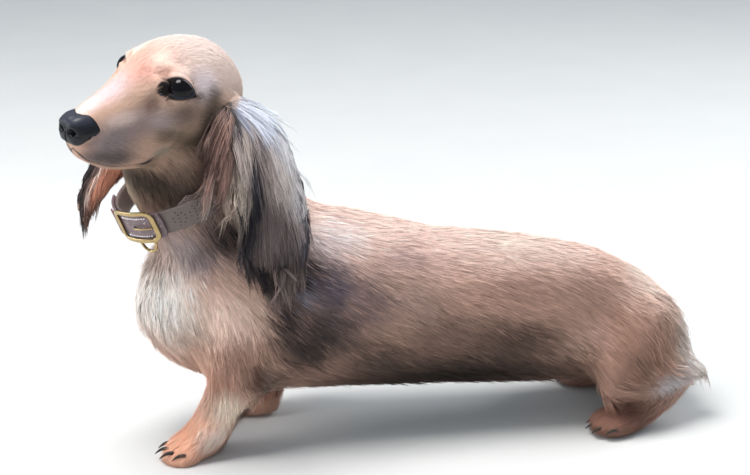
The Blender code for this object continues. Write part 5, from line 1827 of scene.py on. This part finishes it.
def buckle():
    """A rounded rectangle of bar stock on the collar, its bar a pair of beads with a
    groove between them."""
    corner = np.radians(np.linspace(0, 90, 9))
    path = []
    for quarter, (sx, sy) in enumerate(((1, 1), (-1, 1), (-1, -1), (1, -1))):
        angle = corner + quarter * math.pi / 2
        path.append(np.column_stack([
            sx * (BUCKLE_WIDE / 2 - BUCKLE_CORNER) + BUCKLE_CORNER * np.cos(angle),
            sy * (BUCKLE_TALL / 2 - BUCKLE_CORNER) + BUCKLE_CORNER * np.sin(angle)]))
    path = np.vstack(path)
    path = np.vstack([np.linspace(p, q, 6, endpoint=False) if np.hypot(*(q - p)) > 3 else p[None]
                      for p, q in zip(path, np.roll(path, -1, axis=0))])
    along = unit(np.roll(path, -1, axis=0) - np.roll(path, 1, axis=0))
    turn_ = circle(20)
    groove = 1 - 0.30 * np.exp(-((turn_ - math.pi / 2) / 0.45) ** 2)
    aside, lift = BUCKLE_BAR * np.cos(turn_), 0.7 * BUCKLE_BAR * np.sin(turn_) * groove
    s = path[:, :1] + along[:, 1:] * aside
    v = path[:, 1:] - along[:, :1] * aside
    grid = on_collar(BUCKLE_TURN + np.degrees(s / MEAN_RADIUS), v + 0.9, BUCKLE_OUT + lift[None])
    return ring_piece("buckle_frame", grid)


def set_on_collar(name, shape, spots):
    """Small shells set on the collar at rows of degrees, along and outwards."""
    spots = np.array(spots, float)
    return new_piece(name, *many_of(shape, *collar_axes(*spots.T)), smooth=False)


def perforations():
    """Rows of round holes that make a plain lattice on the strap, seen as dark discs."""
    motif = ((0, -5.0), (0.9, -2.6), (0.9, 0.0), (0.9, 2.6), (0, 5.0), (3.4, 3.6), (5.0, 1.2),
             (5.0, -1.4), (3.4, -3.8), (-2.6, 1.4), (-2.6, -1.4))
    return [(angle + x * 1.35, v, STRAP_THICK - 0.05) for angle in np.arange(78, 338, 15.0)
            for x, v in motif]


def stones():
    """Cut stones in a row along each edge of the strap's end, inside the buckle."""
    span = np.linspace(-9.5, 9.5, 11)
    top = STRAP_THICK + 2.3
    return [(BUCKLE_TURN + math.degrees(x / MEAN_RADIUS), v, top) for v in (-7.0, 7.0)
            for x in span]


def lead_ring():
    """The ring a lead clips to, lying below the strap: a round bar along a D-shaped loop."""
    loop = ((-9, 0), (0, -0.4), (9, 0), (9.4, 5), (6.5, 9.8), (0, 11.7), (-6.5, 9.8), (-9.4, 5),
            (-9, 0))
    fine = smooth_rows(loop, 61)[:-1]
    low = -STRAP_WIDTH / 2 - 1.4
    line = on_collar(38 + fine[:, 0], low - fine[:, 1], STRAP_THICK * 0.6)
    way = unit(np.roll(line, -1, axis=0) - np.roll(line, 1, axis=0))
    out = unit(on_collar(38.0, low, 9.0) - on_collar(38.0, low, 0.0))
    side = unit(np.cross(way, out))
    angle = circle(14)[None, :, None]
    grid = line[:, None] + 1.1 * (side[:, None] * np.cos(angle) + out * np.sin(angle))
    return ring_piece("lead_ring", grid)


def build_collar():
    """Strap with its seams and holes, its free end with stones, keeper, buckle, prong and
    ring."""
    lift = STRAP_THICK + 0.3
    top = lift + 2.0
    gold = gold_material()
    dark = leather("hole_shadow", linear(24, 20, 24), linear(44, 38, 42), 0.0, 0.8)
    route = smooth_rows([(18, 0, 1.4), (12, 0, 1.7), (5, 0, 1.6), (-1, 0, 1.2)], 20)
    rod = tube(on_collar(BUCKLE_TURN + route[:, 0], 0 * route[:, 0], top + 0.3 + route[:, 2]),
               0.7 * np.interp(np.arange(20), (0, 17, 19), (1, 1, 0.6)), 14)
    eyelets = [(BUCKLE_TURN - step, 0.0, top + 0.05) for step in (1, 24, 56)]
    for made, look, slot, *solids in (
            (band("collar_band", 0, 360, STRAP_WIDTH, 0.0, STRAP_THICK, 180),
             leather("strap_leather", linear(84, 74, 72), linear(110, 97, 92), 0.0, 0.5),
             "strap_leather", "collar_strap"),
            (band("collar_end", -20, 66, STRAP_WIDTH + 2.5, lift, 2.0, 90),
             leather("end_leather", linear(78, 64, 68), linear(118, 98, 102), 0.022, 0.42),
             "strap_leather", "collar_tongue"),
            (band("collar_loop", 4, 14, STRAP_WIDTH + 2, top + 0.3, 1.6, 24, 0.9),
             leather("loop_leather", linear(88, 44, 42), linear(120, 66, 60), 0.0, 0.4),
             "strap_leather", "collar_keeper"),
            (buckle(), gold, "gold", "collar_buckle"),
            (closed_piece("buckle_prong", *rod), gold, "gold", "collar_prong"),
            (lead_ring(), gold, "gold", "collar_ring"),
            (set_on_collar("strap_holes", lens(0.62, 0.10, 8), perforations()), dark,
             "strap_leather"),
            (set_on_collar("end_stones", lens(0.85, 0.75, 8), stones()), stone_material(), "gold"),
            (set_on_collar("end_holes", lens(1.3, 0.12, 14), eyelets), dark, "strap_leather")):
        dress(made, look, slot, *solids)


# ---------------------------------------------------------------- the skin's regions
SKIN = build_skin()
skin_points, skin_normals = points_of(SKIN), normals_of(SKIN)
skin_tris = triangles_of(SKIN.data)
put_attribute(SKIN, "outwards", skin_normals, "FLOAT_VECTOR")
centres = skin_points[skin_tris].mean(axis=1)


def ear_cloud(name):
    """Points all over an ear's thin shells, but not at its root in the head."""
    return np.vstack([ear_grid(rows, EAR_CURL[name], 110, 80)[6:].reshape(-1, 3)
                      for rows in EAR_LINES[name]])


def skin_regions(points):
    """The name of the region of the coat that each point of the skin belongs to."""
    body, mirror = points + MIDDLE, placed("both", points)
    right = body[:, 1] > 0
    region = np.where(body[:, 0] < 10, "front", "rear").astype("<U12")
    side = np.where(right, "_right", "_left")
    region = np.char.add(region, side)
    fore = (mirror[:, 2] < 90) & (np.abs(mirror[:, 0] + 115) < 45) & (mirror[:, 1] < -17)
    fore &= (mirror[:, 2] < 55) | (mirror[:, 1] < -38)
    hind = (mirror[:, 2] < 62) & (mirror[:, 0] > 128) & (mirror[:, 1] < -14)
    region = np.where(fore, np.char.add("fore", side), region)
    region = np.where(hind, np.char.add("hind", side), region)
    line = row(smooth_rows([(*p, 0) for p in TAIL], 60)[12:, :3])
    region[near_cloud(points, line, 15)] = "tail"
    neck = (body - (-120, 0, 150)) @ unit(np.array((-0.55, 0, 0.83))) > 0
    head = (body - (-150, -18, 222)) @ unit(np.array((-0.5, 0, 0.87))) > 0
    region[neck] = "neck"
    region[neck & head] = "head"
    for name in EAR_GRIDS:
        region[near_cloud(points, ear_cloud(name), 1.9)] = name
    return region


region = skin_regions(centres)
vertex_region = skin_regions(skin_points)
vertex_tone = markings_and_painted_lighting(skin_points)
lie = combed(skin_points, skin_normals)
for ear in EAR_GRIDS:
    on_ear = vertex_region == ear
    vertex_tone[on_ear] = ear_markings_and_painted_lighting(skin_points[on_ear], ear)
    lie[on_ear] = combed_ear(skin_points[on_ear], skin_normals[on_ear], ear)
# painted shade: the skin takes the coat's colours dimmed, as the shade deep in the coat between the
# hairs
put_attribute(SKIN, "tone", vertex_tone * 0.9, "FLOAT_COLOR")
# each point's place along the hair, across it and outwards, for the streaks
ways = (lie, np.cross(skin_normals, lie), skin_normals)
put_attribute(SKIN, "lie", np.stack([np.einsum("ij,ij->i", skin_points, way) for way in ways], -1),
              "FLOAT_VECTOR")
dress(SKIN, skin_material(), "coat", *FLESH, "ear_left", "ear_right")
print("skin", len(skin_tris), {name: int((region == name).sum()) for name in np.unique(region)})

TREE = nearest_tool(SKIN)
SKIN_DATA = (skin_points, skin_tris, TREE)

# ---------------------------------------------------------------- face and collar
WET_EYE, RIM = eye_material(), rim_material()
NOSE_LOOK = pebbled("nose_pebbles", (0.0015, 0.0016, 0.003), (0.020, 0.022, 0.034), 1500.0,
                    0.0001, 0.42, 0.06)
TEAR_LOOK = pebbled("wet_corner", (0.004, 0.004, 0.008), (0.01, 0.01, 0.02), 900.0, 0.00003,
                    0.16, 0.6)
LIP_LOOK = pebbled("lip_skin", (0.010, 0.008, 0.009), (0.030, 0.024, 0.024), 1500.0, 0.0001,
                   0.45, 0.1)
for side_sign, word in EYE_SIDES.items():
    dress(eyeball(side_sign), WET_EYE, "eye", "eye_" + word)
    dress(lid_rims(side_sign), RIM, "coat")
    dress(tear_corner(side_sign, TREE), TEAR_LOOK, "coat")
dress(nose_leather(), NOSE_LOOK, "nose_leather", "nose")
dress(lip_edges(TREE), LIP_LOOK, "coat")
all_claws, claw_nodes = claws()
dress(all_claws, horn_material(), "claw", *claw_nodes)
build_collar()

# ---------------------------------------------------------------- the coat's pieces
# the first number is each hair's value at its root: painted shade deep in the coat
LONG_HAIR = hair_material("coat_hair", 0.72, 1.14, 0.4, 0.48, 0.01)
EAR_HAIR = hair_material("ear_hair", 0.78, 1.12, 0.4, 0.42, 0.01)
FACE_HAIR = hair_material("face_hair", 0.92, 1.04, 0.25, 0.55, 0.03)
dress(whiskers(TREE), LIP_LOOK, "coat")

def even(value):
    """A rule that gives every root the same value."""
    return lambda points: np.full(len(points), value)


# What a coat piece is grown from.  Numbers of locks, of tufts in a lock and of rings along
# a tuft.  In mm: a lock's spread at its root, its length and height, a tuft's width and
# curl, and mix, which is how far to the side a tuft's colour may be taken from.  Shares:
# gather at the tip, lift of the height, fall towards the floor, and free, which is how far
# a lock may leave the skin.  Turns of a lock off the comb: sway, drift and bend.  Grain is
# the spread of the colour by tuft and by lock, and pressed puts hair under the strap.
BODY = {"locks": 6200, "tufts": 5, "spread": 1.6, "gather": 0.25, "rings": 2, "width": 0.62,
        "lift": (0.35, 0.95), "sway": 0.05, "drift": 0.7, "bend": 0.0, "fall": 0.0, "free": 0.0,
        "pressed": True, "curl": even(0.0), "grain": (0.14, 0.11), "mix": 4.0,
        "length": lambda p: np.where(coat_length(p) > 24.2, 20, np.minimum(coat_length(p), 14)),
        "height": coat_depth}
BODY_FAR = {**BODY, "locks": 5300, "width": 0.68}
NECK = {**BODY, "tufts": 6, "spread": 1.8, "gather": 0.4, "width": 0.5, "mix": 3.0,
        "length": lambda p: np.minimum(coat_length(p), 17)}
FACE = {**BODY, "locks": 14000, "tufts": 3, "spread": 0.8, "gather": 0.15, "width": 0.34,
        "drift": 0.5, "grain": (0.08, 0.05), "mix": 0.9, "lift": (0.3, 0.85),
        "keep": clear_of_eyes, "length": coat_length}
LEG = {**BODY, "locks": 4000, "tufts": 4, "spread": 1.2, "gather": 0.3, "width": 0.5,
       "lift": (0.6, 1.2), "mix": 1.5, "height": lambda p: np.maximum(coat_depth(p), 2.2),
       "length": lambda p: coat_length(p) * 1.2 + 1}
LOBE_TIP = np.array((-132.0, 183.0))
EAR = {**BODY, "pressed": False, "locks": 1200, "tufts": 10, "spread": 2.2, "gather": 0.55,
       "rings": 4, "width": 0.5, "length": even(30.0), "height": even(3.2), "fall": 0.3,
       "free": 1.0, "drift": 0.3, "bend": 0.10,
       "curl": lambda p: 0.7 + 1.5 * patch((p + MIDDLE)[:, [0, 2]], LOBE_TIP, (13, 16)),
       "lift": (0.05, 0.85), "grain": (0.12, 0.12), "mix": 1.4}
EAR_FAR = {**EAR, "locks": 620, "length": even(13.0), "height": even(1.2), "fall": 0.7,
           "mix": 1.0, "spread": 1.4, "curl": even(0.3)}
TAIL_COAT = {**BODY, "locks": 400, "tufts": 8, "spread": 3.0, "gather": 0.6, "rings": 3,
             "curl": even(1.0), "free": 0.5, "bend": 0.1, "width": 0.7, "length": coat_length}
# long feathers: frame, centre, half sizes, length in mm
FEATHERS = (
    ("body", (-170, -5, 112), (22, 34, 32), 18), ("both", (-92, -54, 66), (17, 14, 26), 22),
    ("both", (218, -22, 52), (14, 26, 22), 20), ("both", (196, -46, 36), (22, 14, 11), 17),
    ("both", (-116, -54, 62), (18, 14, 26), 14), ("both", (196, -40, 74), (18, 24, 24), 16),
    ("both", (160, -54, 38), (22, 14, 10), 15), ("body", (30, -4, 40), (120, 34, 14), 16),
)


def feathered(points):
    """How fully each point is feathered, and the length of its feathers."""
    share, length = np.zeros(len(points)), np.full(len(points), 14.0)
    for kind, centre, half, value in FEATHERS:
        here = patch(placed(kind, points), centre, half)
        length = np.where(here > share, value, length)
        share = np.maximum(share, here)
    return share, length


FEATHER = {**BODY, "locks": 1750, "spread": 2.2, "gather": 0.75, "rings": 4, "width": 0.5,
           "fall": 0.15, "free": 1.0, "curl": even(1.3), "drift": 1.0, "bend": 0.15,
           "sway": 0.12, "lift": (0.7, 1.15), "grain": (0.1, 0.12), "mix": 1.5,
           "length": lambda p: feathered(p)[1],
           "keep": lambda p: feathered(p)[0] > RANDOM.random(len(p)) * 0.6}
PLAN = (("head", FACE), ("neck", NECK), ("front_left", BODY), ("front_right", BODY_FAR),
        ("rear_left", BODY), ("rear_right", BODY_FAR), ("fore_left", LEG), ("fore_right", LEG),
        ("hind_left", LEG), ("hind_right", LEG), ("tail", TAIL_COAT), ("ear_left", EAR),
        ("ear_right", EAR_FAR), ("feathers", FEATHER))
total_triangles = 0
for part, spec in PLAN:
    mask = region == part if part != "feathers" else feathered(centres)[0] > 0.15
    if part in EAR_GRIDS:
        comb = partial(combed_ear, name=part)
        tone_of, uv_of = partial(ear_markings_and_painted_lighting, name=part), partial(flap_uv, name=part)
        look, slot = EAR_HAIR, "ear_coat"
    else:
        low, high = centres[mask].min(axis=0), centres[mask].max(axis=0)
        longest = np.eye(3)[np.argmax(high - low)]
        middle, reach = (low + high) / 2, (high - low).max() / 2
        comb, tone_of = combed, markings_and_painted_lighting
        uv_of = partial(wrap_uv, start=middle - longest * reach, end=middle + longest * reach)
        look, slot = FACE_HAIR if part == "head" else LONG_HAIR, "coat"
    made = grow("coat_" + part, SKIN_DATA, mask, spec, comb, tone_of, uv_of)
    dress(made, look, slot)
    triangles = len(triangles_of(made.data))
    total_triangles += triangles
    print("coat", part, triangles)
print("coat total", total_triangles)
bpy.data.node_groups.remove(TREE)

# ---------------------------------------------------------------- camera, light and floor
CAMERA_TARGET = Vector((-8, 0, 140)) * MM - Vector(MIDDLE) * MM
# degrees from the left side and above level, metres, and the lens in mm
CAMERA_AZIMUTH, CAMERA_HEIGHT, CAMERA_DISTANCE, CAMERA_LENS = -10.0, 18.0, 1.35, 92.571


def light(name, at, size, watts, colour, mirrored=True):
    """A soft oval light that faces the dog; glossy surfaces mirror it or not."""
    lamp = bpy.data.lights.new(name, "AREA")
    lamp.shape = "ELLIPSE"
    lamp.size, lamp.size_y = size
    lamp.energy = watts
    lamp.color = colour
    made = bpy.data.objects.new(name, lamp)
    bpy.context.scene.collection.objects.link(made)
    made.location = at
    made.rotation_euler = (Vector(at) - Vector((0, 0, 0.12))).to_track_quat("Z", "Y").to_euler()
    made.visible_glossy = mirrored


camera = bpy.data.cameras.new("camera")
camera.sensor_width = 36.0
camera.lens = CAMERA_LENS
camera.clip_start = 0.01
camera_object = bpy.data.objects.new("camera", camera)
bpy.context.scene.collection.objects.link(camera_object)
a, e = math.radians(CAMERA_AZIMUTH), math.radians(CAMERA_HEIGHT)
back = Vector((math.sin(a) * math.cos(e), -math.cos(a) * math.cos(e), math.sin(e)))
camera_object.location = CAMERA_TARGET + back * CAMERA_DISTANCE
camera_object.rotation_euler = back.to_track_quat("Z", "Y").to_euler()
bpy.context.scene.camera = camera_object

FLOOR_HALF, FLOOR_ROWS = 3000, 25       # mm from the middle to an edge, points a side
spaced = np.linspace(-FLOOR_HALF, FLOOR_HALF, FLOOR_ROWS)
grid_x, grid_y = np.meshgrid(spaced, spaced, indexing="ij")
floor = new_piece("floor", np.stack([grid_x, grid_y, 0 * grid_x - 0.05], -1).reshape(-1, 3),
                  grid_faces(FLOOR_ROWS, FLOOR_ROWS, False))
floor.data.materials.append(floor_material())

world = bpy.data.worlds.new("soft_sky")
world.use_nodes = True
sky = world.node_tree.nodes["Background"].inputs
sky["Color"].default_value = (0.80, 0.89, 1.0, 1)
sky["Strength"].default_value = 0.5
bpy.context.scene.world = world
WARM = (1.0, 0.97, 0.94)
light("key", (-0.45, -0.1, 1.75), (1.0, 1.0), 38, WARM)
light("front", (-1.6, -0.3, 0.8), (0.8, 0.8), 16, WARM, mirrored=False)
light("side", (-1.5, 0.4, 0.45), (0.7, 0.7), 5, (0.94, 0.97, 1.0))
light("rear", (1.3, 0.5, 1.0), (0.8, 0.8), 14, (0.97, 0.98, 1.0), mirrored=False)
light("fill", (-0.4, -1.7, 0.8), (1.4, 1.0), 5, WARM, mirrored=False)
bpy.context.scene.view_settings.view_transform = "Standard"
